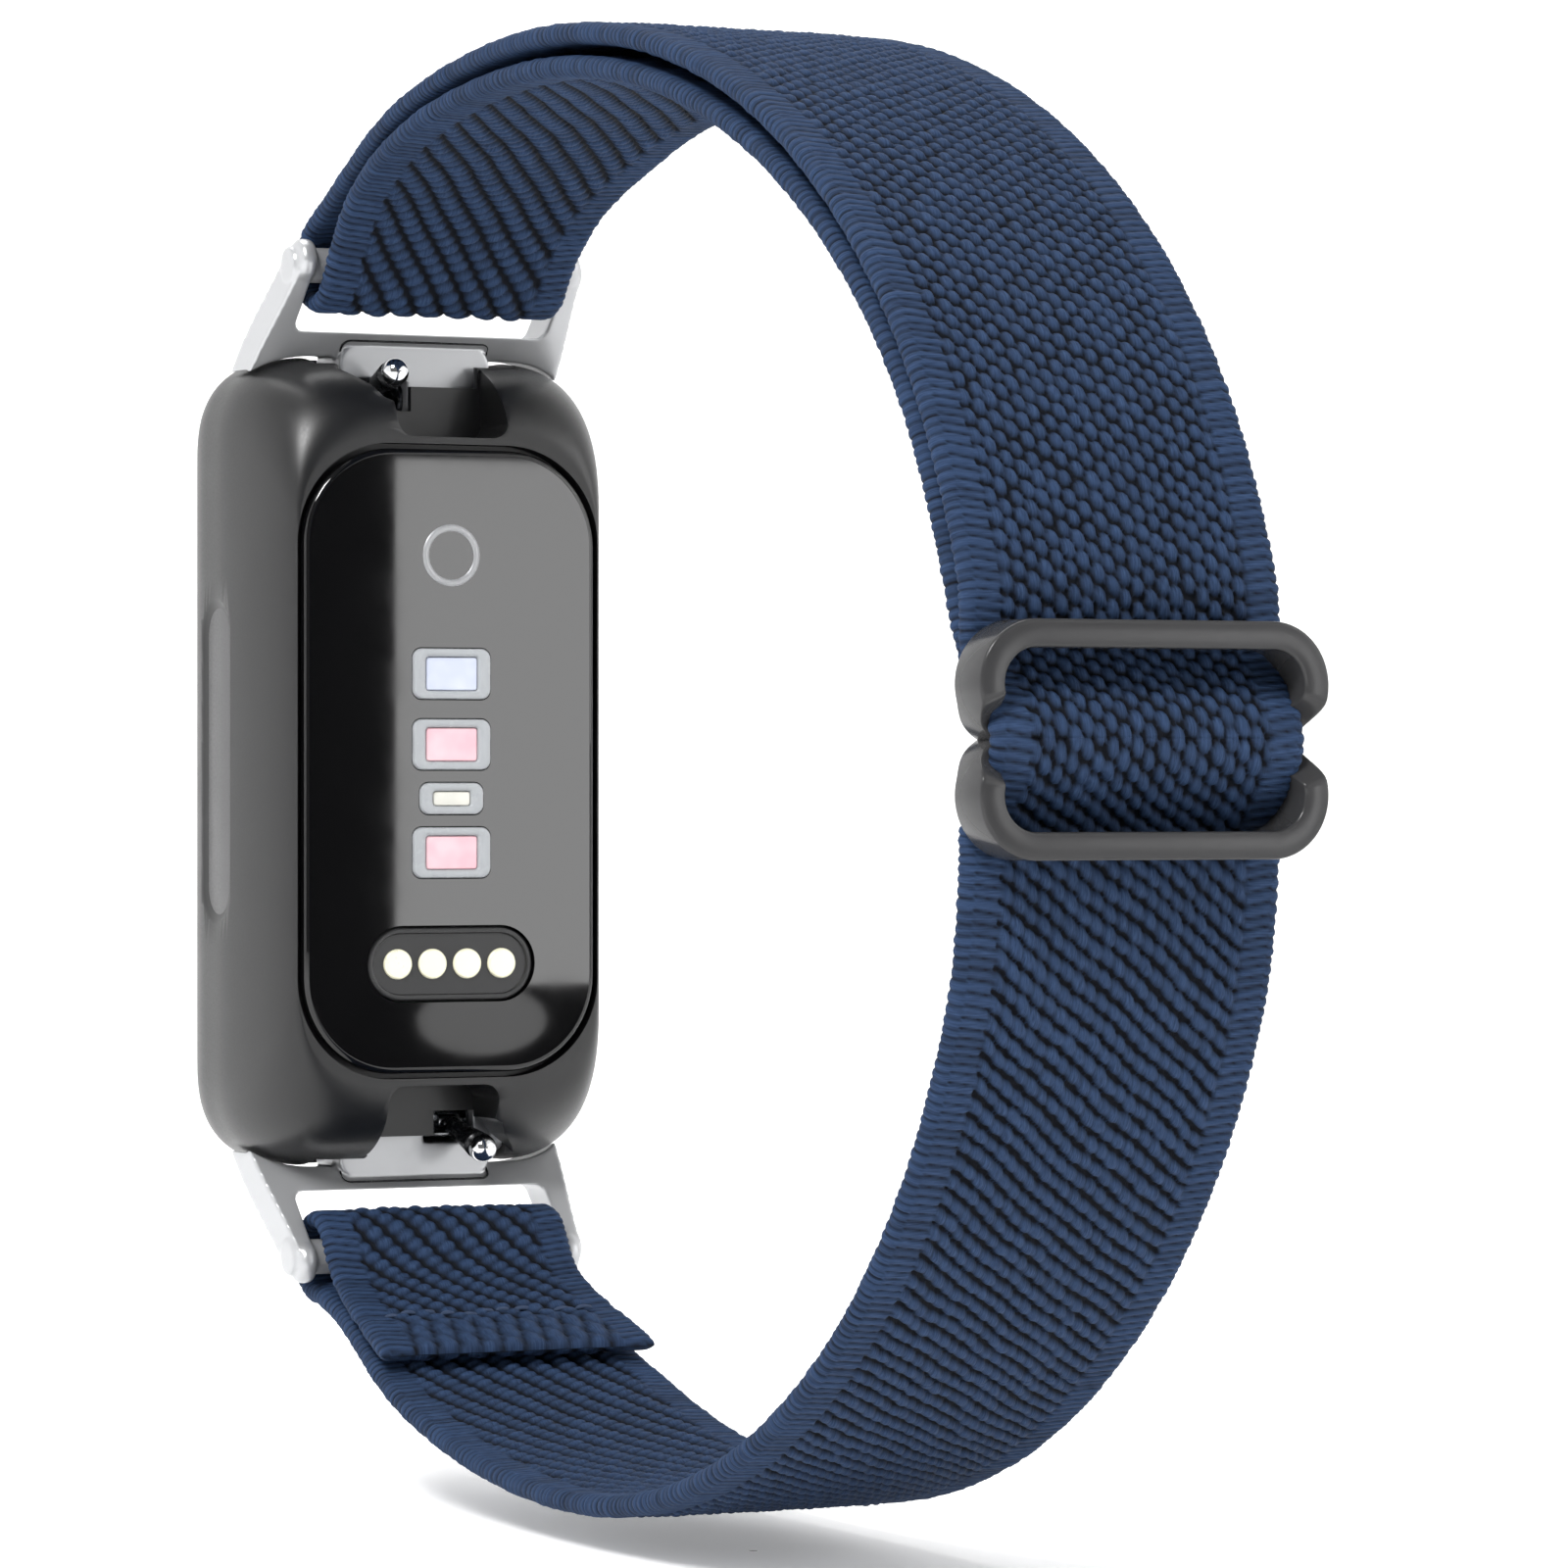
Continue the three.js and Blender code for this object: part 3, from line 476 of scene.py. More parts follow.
def ropes_height(x, s, slant=0.74):
    """Slanting ropes of flattened thread turns, as on the strap's wrist face."""
    x, s = wander(x, s)
    rope = np.round((x - slant * s) / ROPE_PITCH)
    best = np.full(x.shape, -1.0)
    tint = np.zeros(x.shape)
    for dk in (-1, 0, 1):
        k = rope + dk
        across = x - slant * s - k * ROPE_PITCH
        lean = s + 0.42 * across
        core = 0.5 * np.sqrt(np.clip(1 - (across / 0.62) ** 2, 0, 1))
        for dm in (-1, 0, 1):
            m = np.round((lean + 0.26 * k) / ROPE_TURN) + dm
            along = lean - (m * ROPE_TURN - 0.26 * k) - 0.05 * (hashed(k, m, 7) - 0.5)
            r2 = (across / (0.64 + 0.06 * hashed(k, m, 8))) ** 2 + (along / 0.29) ** 2
            height = np.sqrt(np.clip(1 - r2, 0, 1)) * (0.88 + 0.24 * hashed(k, m, 9))
            height = np.maximum(height, core)
            better = height > best
            best = np.where(better, height, best)
            tint = np.where(better, hashed(k, m, 10), tint)
    return best, tint


def edge_ribs(x, s, side):
    """Fine thread turns across the woven edge."""
    phase = s / RIB_PITCH + 0.35 * side * x + 0.35 * np.sin(s / 1.7 + side) + 0.2 * np.sin(s / 0.6)
    rib = np.abs(np.sin(np.pi * phase)) ** 0.7
    strength = 0.75 + 0.5 * hashed(np.floor(phase), side, 11)
    return rib * strength, hashed(np.floor(phase), side, 12)


def style_along(s):
    """How ribbed the loops are, how much of the rope weave shows and how flattened it is."""
    ribbed = 0.12 + 0.5 * smoothstep(HUMP_TOP - 0.5, HUMP_TOP + 3.5, s)
    ribbed = ribbed + 0.38 * smoothstep(HUMP_TOP + 4, HUMP_TOP + 14, s)
    ribbed = ribbed - 0.55 * smoothstep(LOWER_BAR - 2, LOWER_BAR + 1, s)
    ropes = 1 - smoothstep(UPPER_BAR - 1.2, UPPER_BAR + 0.5, s) + smoothstep(LOWER_BAR - 1.5, LOWER_BAR, s)
    flat = smoothstep(TAIL_SEAM + 0.5, TAIL_SEAM + 1.1, s)
    return ribbed, ropes, flat


def half_width(s):
    """Narrow between the adapters' arms and in the slider's windows, widest where it is slack."""
    wide = 7.08 + 0.1 * smoothstep(HUMP_TOP + 22, HUMP_TOP + 45, s)
    for bar in (UPPER_BAR, LOWER_BAR):
        wide = wide - (wide - 6.36) * (1 - smoothstep(4, 17, np.abs(s - bar)))
    wide = wide - 0.1 * smoothstep(LOWER_BAR + 4, LOWER_BAR + 8, s)
    height = np.abs(np.interp(s, ALONG, PATH[:, 1]) - SLIDER_Z)
    ring, window = WAIST_RING, WAIST_RING - SLIDER_RIM
    reach = np.sqrt(np.clip(window ** 2 - (height - SLIDER_LOOP_Z) ** 2, 0.1, None))
    inside = slider_high[0] - ring + reach + WINDOW_OVERLAP
    near = np.abs(s - HUMP_TOP) < 6
    through = near & (height > 1.25) & (height < 3.25)
    wide = np.where(near & (height <= 1.25), 6.9, wide)
    wide = np.where(through, np.minimum(inside, 6.9), wide)
    wide = softened(wide, 4) if len(s) > 20 else wide
    return wide - 0.75 * (1 - smoothstep(3.0, 8.5, s))


def half_thickness(s):
    """Half the plain thickness under the raised threads."""
    base = np.full(s.shape, 0.34)
    base -= 0.17 * (1 - smoothstep(3.2, 5.5, s))
    base -= 0.08 * smoothstep(LOWER_BAR + 1.5, LOWER_BAR + 3.5, s)
    base -= 0.12 * np.exp(-((s - TAIL_SEAM) / 0.4) ** 2)
    return base


def weave_field(x, s, half_x, face):
    """Height of the raised threads, loop depth for the shader's painted valley shade, tint and edge mask."""
    ribbed, ropes, flat = style_along(s)
    if face > 0:
        loops, loops_tint = loops_height(x, s, ribbed)
        rope, rope_tint = ropes_height(x, s)
    else:
        loops, loops_tint = ropes_height(-x, s, 0.42)
        rope, rope_tint = loops, loops_tint
    field = loops * (1 - ropes) + rope * ropes
    tint = np.where(ropes > 0.5, rope_tint, loops_tint)
    if face > 0:
        wide = 0.1 + 0.9 * np.abs(np.sin(np.pi * (x + 0.25 * s) / 1.12)) ** 0.6
        ridge = 0.72 * wide + 0.28 * np.clip(field, 0, 1)
        field = field * (1 - flat) + ridge * flat
    side = np.sign(x)
    ribs, ribs_tint = edge_ribs(x, s, side)
    edge = smoothstep(half_x - 1.75 - 0.12 * np.sin(s * 7.1), half_x - 1.5, np.abs(x))
    groove = np.exp(-((np.abs(x) - half_x + 1.68) / 0.16) ** 2) * 0.25
    height = (1 - edge) * (0.29 * field - 0.06) + edge * (0.05 + 0.1 * ribs) - 0.1 * groove
    height = height * (0.35 + 0.65 * smoothstep(2.5, 5.0, s))
    # Painted shade mask: low in the valleys between the loops, between the edge ribs and in the groove beside the
    # edge.
    depth = (1 - edge) * field + edge * (0.2 + 0.8 * ribs) - 0.3 * groove
    tint = np.where(edge > 0.5, ribs_tint, tint)
    return height, np.clip(depth, 0, 1), tint, edge


def fade_ends(s):
    """The cut end of the strap is rounded over."""
    start = np.sqrt(np.clip(1 - (1 - np.clip(s / 0.5, 0, 1)) ** 2, 0.0, 1))
    end = np.sqrt(np.clip(1 - (1 - np.clip((END - s) / 0.5, 0, 1)) ** 2, 0.0, 1))
    return np.maximum(np.minimum(start, end), 0.05)


def strap_piece(name, start, end, back_columns):
    """One length of the webbing, from start to end along the path."""
    first, last = np.searchsorted(ALONG, [start, end])
    s = ALONG[first : last + 1]
    middle, normal = PATH[first : last + 1], NORMAL[first : last + 1]
    half_x = half_width(s)
    base = half_thickness(s)
    close = fade_ends(s)
    radius = 0.5
    front_columns = int(2 * (STRAP_HALF_X - radius) / COLUMN_WIDTH)
    turns = 9
    front = np.linspace(-1, 1, front_columns)
    back = np.linspace(1, -1, back_columns)
    corner = np.linspace(0, np.pi, turns + 2)[1:-1]

    def columns(x_unit, face):
        x = x_unit[None, :] * (half_x[:, None] - radius)
        ss = np.repeat(s[:, None], len(x_unit), axis=1)
        height, depth, tint, edge = weave_field(x, ss, half_x[:, None], face)
        n = face * (base[:, None] + height) * close[:, None]
        return x, n, depth, tint, edge, ss

    def rim(side):
        angle = corner if side > 0 else corner + np.pi
        ss = np.repeat(s[:, None], turns, axis=1)
        ribs, tint = edge_ribs(np.full(ss.shape, side * (STRAP_HALF_X - radius)), ss, side)
        raised = 0.05 + 0.1 * ribs
        x = side * (half_x[:, None] - radius) + (radius - 0.1 + raised) * np.sin(angle)[None, :]
        n = (base[:, None] + raised) * np.cos(angle)[None, :] * close[:, None]
        # The loop depth returned here paints shade between the edge ribs.
        return x, n, 0.2 + 0.8 * ribs, tint, np.ones(ss.shape), ss

    parts = [columns(front, 1), rim(1), columns(back, -1), rim(-1)]
    x, n, depth, tint, edge, ss = (np.concatenate([p[i] for p in parts], axis=1) for i in range(6))
    y = middle[:, :1] + n * normal[:, :1]
    z = middle[:, 1:] + n * normal[:, 1:]
    grid = np.stack([x, y, z], axis=-1)
    obj = grid_mesh(name, grid, WEBBING)
    mesh = obj.data
    # The weave attribute carries the painted shade mask (loop depth), half the random tint and the edge mask.
    colour = mesh.color_attributes.new("weave", "FLOAT_COLOR", "POINT")
    data = np.stack([depth, 0.5 * tint, edge, np.ones(x.shape)], axis=-1).reshape(-1, 4)
    colour.data.foreach_set("color", data.astype(np.float32).ravel())
    uv = mesh.uv_layers.new(name="strap")
    loop_vertex = np.empty(len(mesh.loops), np.int32)
    mesh.loops.foreach_get("vertex_index", loop_vertex)
    around = x + np.where(np.abs(x) > half_x[:, None] - radius, 0.8 * n, 0)
    flat = np.stack([around, ss], axis=-1).reshape(-1, 2)
    uv.data.foreach_set("uv", flat[loop_vertex].astype(np.float32).ravel())
    return obj


def strap_pieces():
    """The webbing in nine lengths: three ride the tracker's body, the other six stay where they are."""
    inner_low = nearest(-18, 24.5, 0, UPPER_BAR)
    inner_top = nearest(19.5, 29.5, 0, UPPER_BAR)
    outer_top = nearest(19.5, 31.5, UPPER_BAR, HUMP_TOP)
    outer_low = nearest(-19, 26, UPPER_BAR, HUMP_TOP)
    lower_high = nearest(-20, -26, HUMP_TOP, LOWER_BAR)
    lower_low = nearest(19.5, -31, HUMP_TOP, LOWER_BAR)
    tail_start = nearest(32.0, -25.0, LOWER_BAR, END)

    def feed_blend(piece):
        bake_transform(piece)

    piece = strap_piece("webbing_inner_feed", 0, inner_low, 20)
    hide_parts("strap_inner_feed", "strap_sewn_end")
    feed_blend(piece)
    piece = strap_piece("webbing_inner_upper", inner_low, inner_top, 20)
    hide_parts("strap_inner_upper")
    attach(piece, "tracker")
    piece = strap_piece("webbing_upper_loop", inner_top, outer_top, 70)
    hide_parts("strap_upper_loop")
    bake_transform(piece)
    piece = strap_piece("webbing_outer_upper", outer_top, outer_low, 20)
    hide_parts("strap_outer_upper")
    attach(piece, "tracker")
    piece = strap_piece("webbing_outer_feed", outer_low, HUMP_TOP, 30)
    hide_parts("strap_outer_feed", "strap_slider_hump")
    feed_blend(piece)
    piece = strap_piece("webbing_lower_feed", HUMP_TOP, lower_high, 60)
    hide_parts("strap_lower_feed")
    feed_blend(piece)
    piece = strap_piece("webbing_lower", lower_high, lower_low, 90)
    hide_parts("strap_lower")
    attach(piece, "tracker")
    piece = strap_piece("webbing_lower_loop", lower_low, tail_start, 80)
    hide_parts("strap_lower_loop")
    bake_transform(piece)
    piece = strap_piece("webbing_tail", tail_start, END, 60)
    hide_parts("strap_tail")
    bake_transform(piece)


strap_pieces()


# ---- Slider -------------------------------------------------------------------------------

def rounded_section(half_u, half_v, radius, turns=5):
    """A closed rounded rectangle, as (u, v) points, counterclockwise."""
    points = []
    for cu, cv, start in ((1, 1, 0), (-1, 1, 90), (-1, -1, 180), (1, -1, 270)):
        for a in np.radians(np.linspace(start, start + 90, turns)):
            points.append((cu * (half_u - radius) + radius * math.cos(a),
                           cv * (half_v - radius) + radius * math.sin(a)))
    return np.array(points)


def slider_frame():
    """Two open loops that meet at the waist, with the round bar between them."""
    ring, rim = WAIST_RING, SLIDER_RIM
    centre_x, centre_z = slider_high[0] - ring, SLIDER_LOOP_Z
    middle = ring - rim / 2
    pieces = []
    for side in (1, -1):
        angles = np.radians(np.linspace(-78, 90, 40))
        right = [(centre_x + middle * math.cos(a), centre_z + middle * math.sin(a)) for a in angles]
        straight = [(x, centre_z + middle) for x in np.linspace(centre_x, -centre_x, 24)[1:-1]]
        left = [(-x, z) for x, z in reversed(right)]
        line = np.array(right + straight + left)
        tangent = np.gradient(line, axis=0)
        tangent /= np.linalg.norm(tangent, axis=1, keepdims=True)
        outward = np.stack([tangent[:, 1], -tangent[:, 0]], axis=1)
        rows = []
        for (x, z), (ox, oz) in zip(line, outward):
            sunk = float(1 - smoothstep(0.7, 1.7, abs(z)))
            front, back = SLIDER_FRONT + 1.05 * sunk, SLIDER_BACK + 0.45 * sunk
            section = rounded_section(rim / 2, (back - front) / 2, 0.14)
            row = [(x + u * ox, (front + back) / 2 + v, SLIDER_Z + side * (z + u * oz)) for u, v in section]
            rows.append(row if side > 0 else row[::-1])
        pieces.append(grid_mesh(f"slider_loop_{side}", np.array(rows), GUNMETAL))
    bar_radius = 0.5
    bar = [[(x, MIDDLE_BAR_Y + bar_radius * math.cos(a), SLIDER_Z + bar_radius * math.sin(a))
            for a in turn_angles(24)]
           for x in np.linspace(-6.4, 6.4, 12)]
    pieces.append(grid_mesh("slider_bar", np.array(bar), GUNMETAL))
    frame_piece = joined("slider_frame_visual", pieces)
    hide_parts("slider_frame")
    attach(frame_piece, "slider")


def joined(name, pieces):
    """Several meshes as one object."""
    bm = bmesh.new()
    for piece in pieces:
        bm.from_mesh(piece.data)
    bmesh.ops.recalc_face_normals(bm, faces=bm.faces)
    mesh = bpy.data.meshes.new(name)
    bm.to_mesh(mesh)
    bm.free()
    mesh.shade_smooth()
    mesh.materials.append(pieces[0].data.materials[0])
    obj = bpy.data.objects.new(name, mesh)
    bpy.context.scene.collection.objects.link(obj)
    for piece in pieces:
        bpy.data.objects.remove(piece)
    return obj


# ---- Case and plates ----------------------------------------------------------------------

CASE_CORNER, CASE_POWER = 4.7, 2.6  # radius and superellipse power of its corners
CASE_CLEARANCE = 0.14
NOTCH_FRONT = CASE_BACK + 3.35  # how deep the notches at the ends go
GROOVE_Y, GROOVE_HALF_Z = 40.2, 6.0  # middle and straight half length of the squeeze zones
PLATE_FLOOR = 33.85  # front of every piece that is let into the back plate


def rounded_outline(half_x, half_z, radius, turns=20, edge=14, power=2.0):
    """A rounded rectangle in X and Z with points along its straight sides too."""
    def arc(angle):
        return tuple(radius * math.copysign(abs(v) ** (2 / power), v) for v in (math.cos(angle), math.sin(angle)))

    corners = ((1, 1, 0), (-1, 1, 90), (-1, -1, 180), (1, -1, 270))
    points = []
    for i, (sx, sz, start) in enumerate(corners):
        for a in np.radians(np.linspace(start, start + 90, turns)):
            points.append((sx * (half_x - radius) + arc(a)[0], sz * (half_z - radius) + arc(a)[1]))
        nx, nz, after = corners[(i + 1) % 4]
        a = math.radians(after)
        following = (nx * (half_x - radius) + arc(a)[0], nz * (half_z - radius) + arc(a)[1])
        last = points[-1]
        for t in np.linspace(0, 1, edge + 2)[1:-1]:
            points.append(tuple(last[k] * (1 - t) + following[k] * t for k in (0, 1)))
    return np.array(points)


def case_inset(y, back_inset, power, front_inset):
    """How far the case draws in at a depth, towards its back and its front."""
    back_depth, front_depth = 6.6, 2.6
    back = np.clip((CASE_BACK + back_depth - y) / back_depth, 0, 1)
    front = np.clip((y - CASE_FRONT + front_depth) / front_depth, 0, 1)
    return back_inset * (1 - (1 - back ** power) ** (1 / power)) + front_inset * (1 - np.sqrt(1 - front ** 2))


def case_section(y, grow, turns, edge):
    """The case's outline at one depth, grown by a clearance."""
    half_x = CASE_HALF_X - case_inset(y, 1.5, 1.5, 1.1) + grow
    half_z = CASE_HALF_Z - case_inset(y, 4, 2, 1.1) + grow
    radius = CASE_CORNER + case_inset(y, 0.7, 2, 0)
    return rounded_outline(half_x, half_z, radius, turns, edge, CASE_POWER)


def case_rings():
    rings = []
    share = 0.5 - 0.5 * np.cos(np.linspace(0, math.pi, 40))
    for y in CASE_BACK + (CASE_FRONT - CASE_BACK) * share:
        rings.append([(x, y, z) for x, z in case_section(y, 0, 26, 14)])
    return rings


def slab(name, outline, y0, y1, round_edge=0.0, material=CASE_BLACK):
    """An outline in X and Z made solid between two depths, with rounded edges."""
    outline = np.asarray(outline)
    nxt = np.roll(outline, -1, axis=0) - np.roll(outline, 1, axis=0)
    normal = np.stack([nxt[:, 1], -nxt[:, 0]], axis=1)
    normal /= np.linalg.norm(normal, axis=1, keepdims=True)
    rings = []
    steps = 5 if round_edge else 1
    for angle in np.radians(np.linspace(0, 90, steps)) if round_edge else [0.0]:
        draw = round_edge * (1 - math.sin(angle))
        ring = outline - normal * draw
        rings.append([(x, y0 + round_edge * (1 - math.cos(angle)), z) for x, z in ring])
    for angle in np.radians(np.linspace(90, 0, steps)) if round_edge else [0.0]:
        draw = round_edge * (1 - math.sin(angle))
        ring = outline - normal * draw
        rings.append([(x, y1 - round_edge * (1 - math.cos(angle)), z) for x, z in ring])
    return grid_mesh(name, np.array(rings), material)


def shifted(outline, dx, dz):
    return np.asarray(outline) + np.array([dx, dz])


def box_solid(x0, x1, y0, y1, z0, z1):
    outline = [(x1, z0), (x1, z1), (x0, z1), (x0, z0)]
    return slab("cutter", outline, y0, y1)


def subtract(target, cutters):
    for cutter in cutters:
        normalise(cutter)
        modifier = target.modifiers.new("cut", "BOOLEAN")
        modifier.operation = "DIFFERENCE"
        modifier.solver = "EXACT"
        modifier.object = cutter
    apply_modifiers(target)
    for cutter in cutters:
        bpy.data.objects.remove(cutter)
    return target


def normalise(obj):
    """All faces of a closed mesh face out."""
    bm = bmesh.new()
    bm.from_mesh(obj.data)
    bmesh.ops.recalc_face_normals(bm, faces=bm.faces)
    if bm.calc_volume(signed=True) < 0:
        bmesh.ops.reverse_faces(bm, faces=bm.faces)
    bm.to_mesh(obj.data)
    bm.free()


def bevelled(obj, width):
    modifier = obj.modifiers.new("bevel", "BEVEL")
    modifier.width = width * MM
    modifier.segments = 2
    modifier.limit_method = "ANGLE"
    modifier.angle_limit = math.radians(40)
    modifier.use_clamp_overlap = True
    modifier.miter_outer = "MITER_ARC"
    apply_modifiers(obj)
    return obj


def crisp(obj):
    """Flat faces shade flat right up to their rounded edges."""
    obj.data.shade_smooth()
    obj.data.set_sharp_from_angle(angle=math.radians(35))
    modifier = obj.modifiers.new("weights", "WEIGHTED_NORMAL")
    modifier.mode = "FACE_AREA"
    modifier.weight = 100
    modifier.keep_sharp = True
    return apply_modifiers(obj)


def end_pocket_cutters(sign):
    """The slot for the lug and the notch for the lever in one end of the case."""
    reach = 22
    cutters = []

    def span(a, b):
        return (a, b) if sign > 0 else (-b, -a)

    cutters.append(box_solid(*span(-5.4, 5.4), HINGE_Y - 2.05, HINGE_Y + 2.05, *span(15.7, reach)))
    notch = [(-2.65, reach), (-2.65, 16.4)]
    for middle_x, start, end in ((-1.85, 190, 270), (2.3, 270, 350)):
        notch += [(middle_x + 0.8 * math.cos(a), 16.4 + 0.8 * math.sin(a))
                  for a in np.radians(np.linspace(start, end, 8))]
    notch += [(3.1, 16.4), (3.0, 18.9), (3.1, 19.3), (3.4, 19.6), (3.4, reach)]
    cutters.append(slab("cutter", [(sign * x, sign * z) for x, z in notch], CASE_BACK - 1, NOTCH_FRONT))
    cutters.append(box_solid(*span(-2.9, 2.9), CASE_BACK - 1, HINGE_Y, *span(18.2, reach)))
    mouth = [(-0.6, 17.2), (-0.6, reach), (-5.6, reach), (-5.5, 20.1), (-5.2, 19.6), (-4.8, 19.1),
             (-4.3, 18.7), (-3.5, 18.1), (-3.1, 17.5), (-2.4, 17.2)]
    cutters.append(slab("cutter", [(sign * x, sign * z) for x, z in mouth], CASE_BACK - 1, NOTCH_FRONT))
    cutters.append(box_solid(*span(-4.4, -0.6), CASE_BACK + 3.2, HINGE_Y, *span(17.0, reach)))
    return cutters


def tracker_case():
    case = grid_mesh("tracker_case_visual", np.array(case_rings()), CASE_BLACK)
    normalise(case)
    seat = slab("cutter", rounded_outline(7.86, 15.26, 4.8), CASE_BACK - 1, CASE_BACK + 0.95)
    cavity = slab("cutter", rounded_outline(6.3, 13.4, 3.6, 8, 1), CASE_BACK - 1, 43.1)
    glass_seat = slab("cutter", rounded_outline(7.82, 18.12, 5.6), 43.4, CASE_FRONT + 1)
    cutters = [seat, cavity, glass_seat]
    for side in (1, -1):
        cutters.append(squeeze_groove(side))
    for sign in (1, -1):
        cutters += end_pocket_cutters(sign)
    subtract(case, cutters)
    bevelled(case, 0.13)
    crisp(case)
    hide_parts("case_body")
    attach(case, "tracker")


def squeeze_groove(side):
    """A long shallow scoop in the side of the case."""
    rows = []
    for depth in np.linspace(0, 1, 10):
        draw = 1 - depth
        half_y = 2.2 * math.sqrt(max(1 - 0.86 * depth ** 2, 0.02))
        half_z = 6.05 + half_y
        outline = rounded_outline(half_y, half_z, half_y * 0.995, 16, 6)
        x = CASE_HALF_X + 0.35 - depth * 0.62
        rows.append([(side * x, GROOVE_Y + u, v) for u, v in outline])
    return grid_mesh("cutter", np.array(rows), CASE_BLACK)


def squeeze_pads():
    """The matt touch zone that lies in each scoop."""
    for side, name in ((-1, "squeeze_pad_left"), (1, "squeeze_pad_right")):
        rows = []
        for depth in np.linspace(0, 1, 8):
            half_y = 2.15 - 0.15 * depth
            outline = rounded_outline(half_y, GROOVE_HALF_Z + half_y, half_y * 0.995, 16, 6)
            x = CASE_HALF_X - 0.5 + 0.33 * math.sin(math.pi / 2 * depth)
            rows.append([(side * x, GROOVE_Y + u, v) for u, v in outline])
        pad = grid_mesh(name + "_visual", np.array(rows), PAD_BLACK)
        normalise(pad)
        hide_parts(name)
        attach(pad, "tracker")


def closed_ring(name, rows, material):
    """A ring whose section runs through rows of outlines and back to the first."""
    obj = grid_mesh(name, np.array(rows + rows[:1]), material, caps=False)
    bm = bmesh.new()
    bm.from_mesh(obj.data)
    bmesh.ops.remove_doubles(bm, verts=bm.verts, dist=1e-7)
    bm.to_mesh(obj.data)
    bm.free()
    normalise(obj)
    return obj


def bezel_ring(name, half_x, half_z, middle):
    """The frosted frame round one sensor window, wider at its sides."""
    rows = []
    section = ((0, 0, PLATE_FLOOR), (0, 0, 32.92), (0.05, 0.05, 32.83), (0.15, 0.15, 32.79),
               (0.54, 0.28, 32.8), (0.62, 0.36, 32.86), (0.66, 0.4, 32.95), (0.66, 0.4, PLATE_FLOOR))
    for inset_x, inset_z, y in section:
        corner = 0.48 - inset_z * 0.75
        outline = rounded_outline(half_x - inset_x, half_z - inset_z, corner, 6, 2)
        rows.append([(x, y, z + middle) for x, z in outline])
    return closed_ring(name, rows, BEZEL)


def ring_mark():
    """A plain ring printed on the back plate."""
    rows = [[(x, y, z) for x, z in circle(radius, 0, 9.9, 64)]
            for radius, y in ((1.5, 33.05), (1.49, 32.978), (1.17, 32.978), (1.16, 33.05))]
    mark = closed_ring("ring_mark", rows, MARK)
    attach(mark, "tracker")


def fixed_piece(obj, node):
    """A rebuilt piece that stands for one CAD node."""
    crisp(obj)
    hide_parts(node)
    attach(obj, "tracker")


def circle(radius, x, z, count=40):
    return [(x + radius * math.cos(a), z + radius * math.sin(a)) for a in turn_angles(count)]


def sensor_face():
    """The gloss back plate with its sensor windows, contact pad and mark."""
    plate = slab("back_plate_visual", rounded_outline(7.6, 15, 4.6), 33.0, 33.9, 0.3, GLOSS_BLACK)
    normalise(plate)
    holes = []
    windows = []
    for i in range(1, 5):
        low, high = (np.array(v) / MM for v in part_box(f"sensor_bezel_{i}"))
        half_x, half_z = high[0], (high[2] - low[2]) / 2
        windows.append((i, half_x, half_z, (high[2] + low[2]) / 2))
        outline = shifted(rounded_outline(half_x + 0.05, half_z + 0.05, 0.5, 6, 1), 0, windows[-1][3])
        holes.append(slab("cutter", outline, 32, 35))
    low, high = (np.array(v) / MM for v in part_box("contact_pad"))
    pad_x, pad_z, pad_middle = high[0], (high[2] - low[2]) / 2, (high[2] + low[2]) / 2
    pad_outline = shifted(rounded_outline(pad_x + 0.05, pad_z + 0.05, pad_z + 0.04, 12, 4), 0, pad_middle)
    holes.append(slab("cutter", pad_outline, 32, 35))
    subtract(plate, holes)
    fixed_piece(plate, "back_plate")
    panes = {1: ("window_blue", 0), 2: ("window_pink", 1), 3: ("window_white", 2), 4: ("window_pink", 1)}
    for i, half_x, half_z, z in windows:
        bezel = bezel_ring(f"bezel_{i}_visual", half_x, half_z, z)
        fixed_piece(bezel, f"sensor_bezel_{i}")
        slot_name, index = panes[i]
        outline = shifted(rounded_outline(half_x - 0.68, half_z - 0.42, 0.14, 5, 1), 0, z)
        window = slab(f"window_{i}_visual", outline, 32.93, PLATE_FLOOR, 0.08, WINDOWS[index])
        normalise(window)
        fixed_piece(window, f"sensor_window_{i}")
    rows = []
    section = ((0, PLATE_FLOOR), (0, 33.3), (0.03, 33.2), (0.1, 33.13), (0.2, 33.11), (0.3, 33.13), (0.36, 33.24))
    for inset, y in section:
        outline = rounded_outline(pad_x - inset, pad_z - inset, pad_z - inset - 0.01, 14, 4)
        rows.append([(x, y, z + pad_middle) for x, z in outline])
    pad = grid_mesh("contact_pad_visual", np.array(rows), RUBBER)
    normalise(pad)
    fixed_piece(pad, "contact_pad")
    for i in range(1, 5):
        low, high = (np.array(v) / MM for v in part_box(f"charge_contact_{i}"))
        x, z = (low[0] + high[0]) / 2, (low[2] + high[2]) / 2
        face = circle((high[0] - low[0]) / 2, x, z)
        disc = slab(f"contact_{i}_visual", face, 33.05, PLATE_FLOOR, 0.13, GOLD)
        normalise(disc)
        fixed_piece(disc, f"charge_contact_{i}")
    ring_mark()


def display_side():
    """The gloss front over the display."""
    glass = slab("display_glass_visual", rounded_outline(7.7, 18, 5.6), 43.5, 44.75, 0.45, DISPLAY)
    normalise(glass)
    fixed_piece(glass, "display_glass")


# ---- Adapters -----------------------------------------------------------------------------

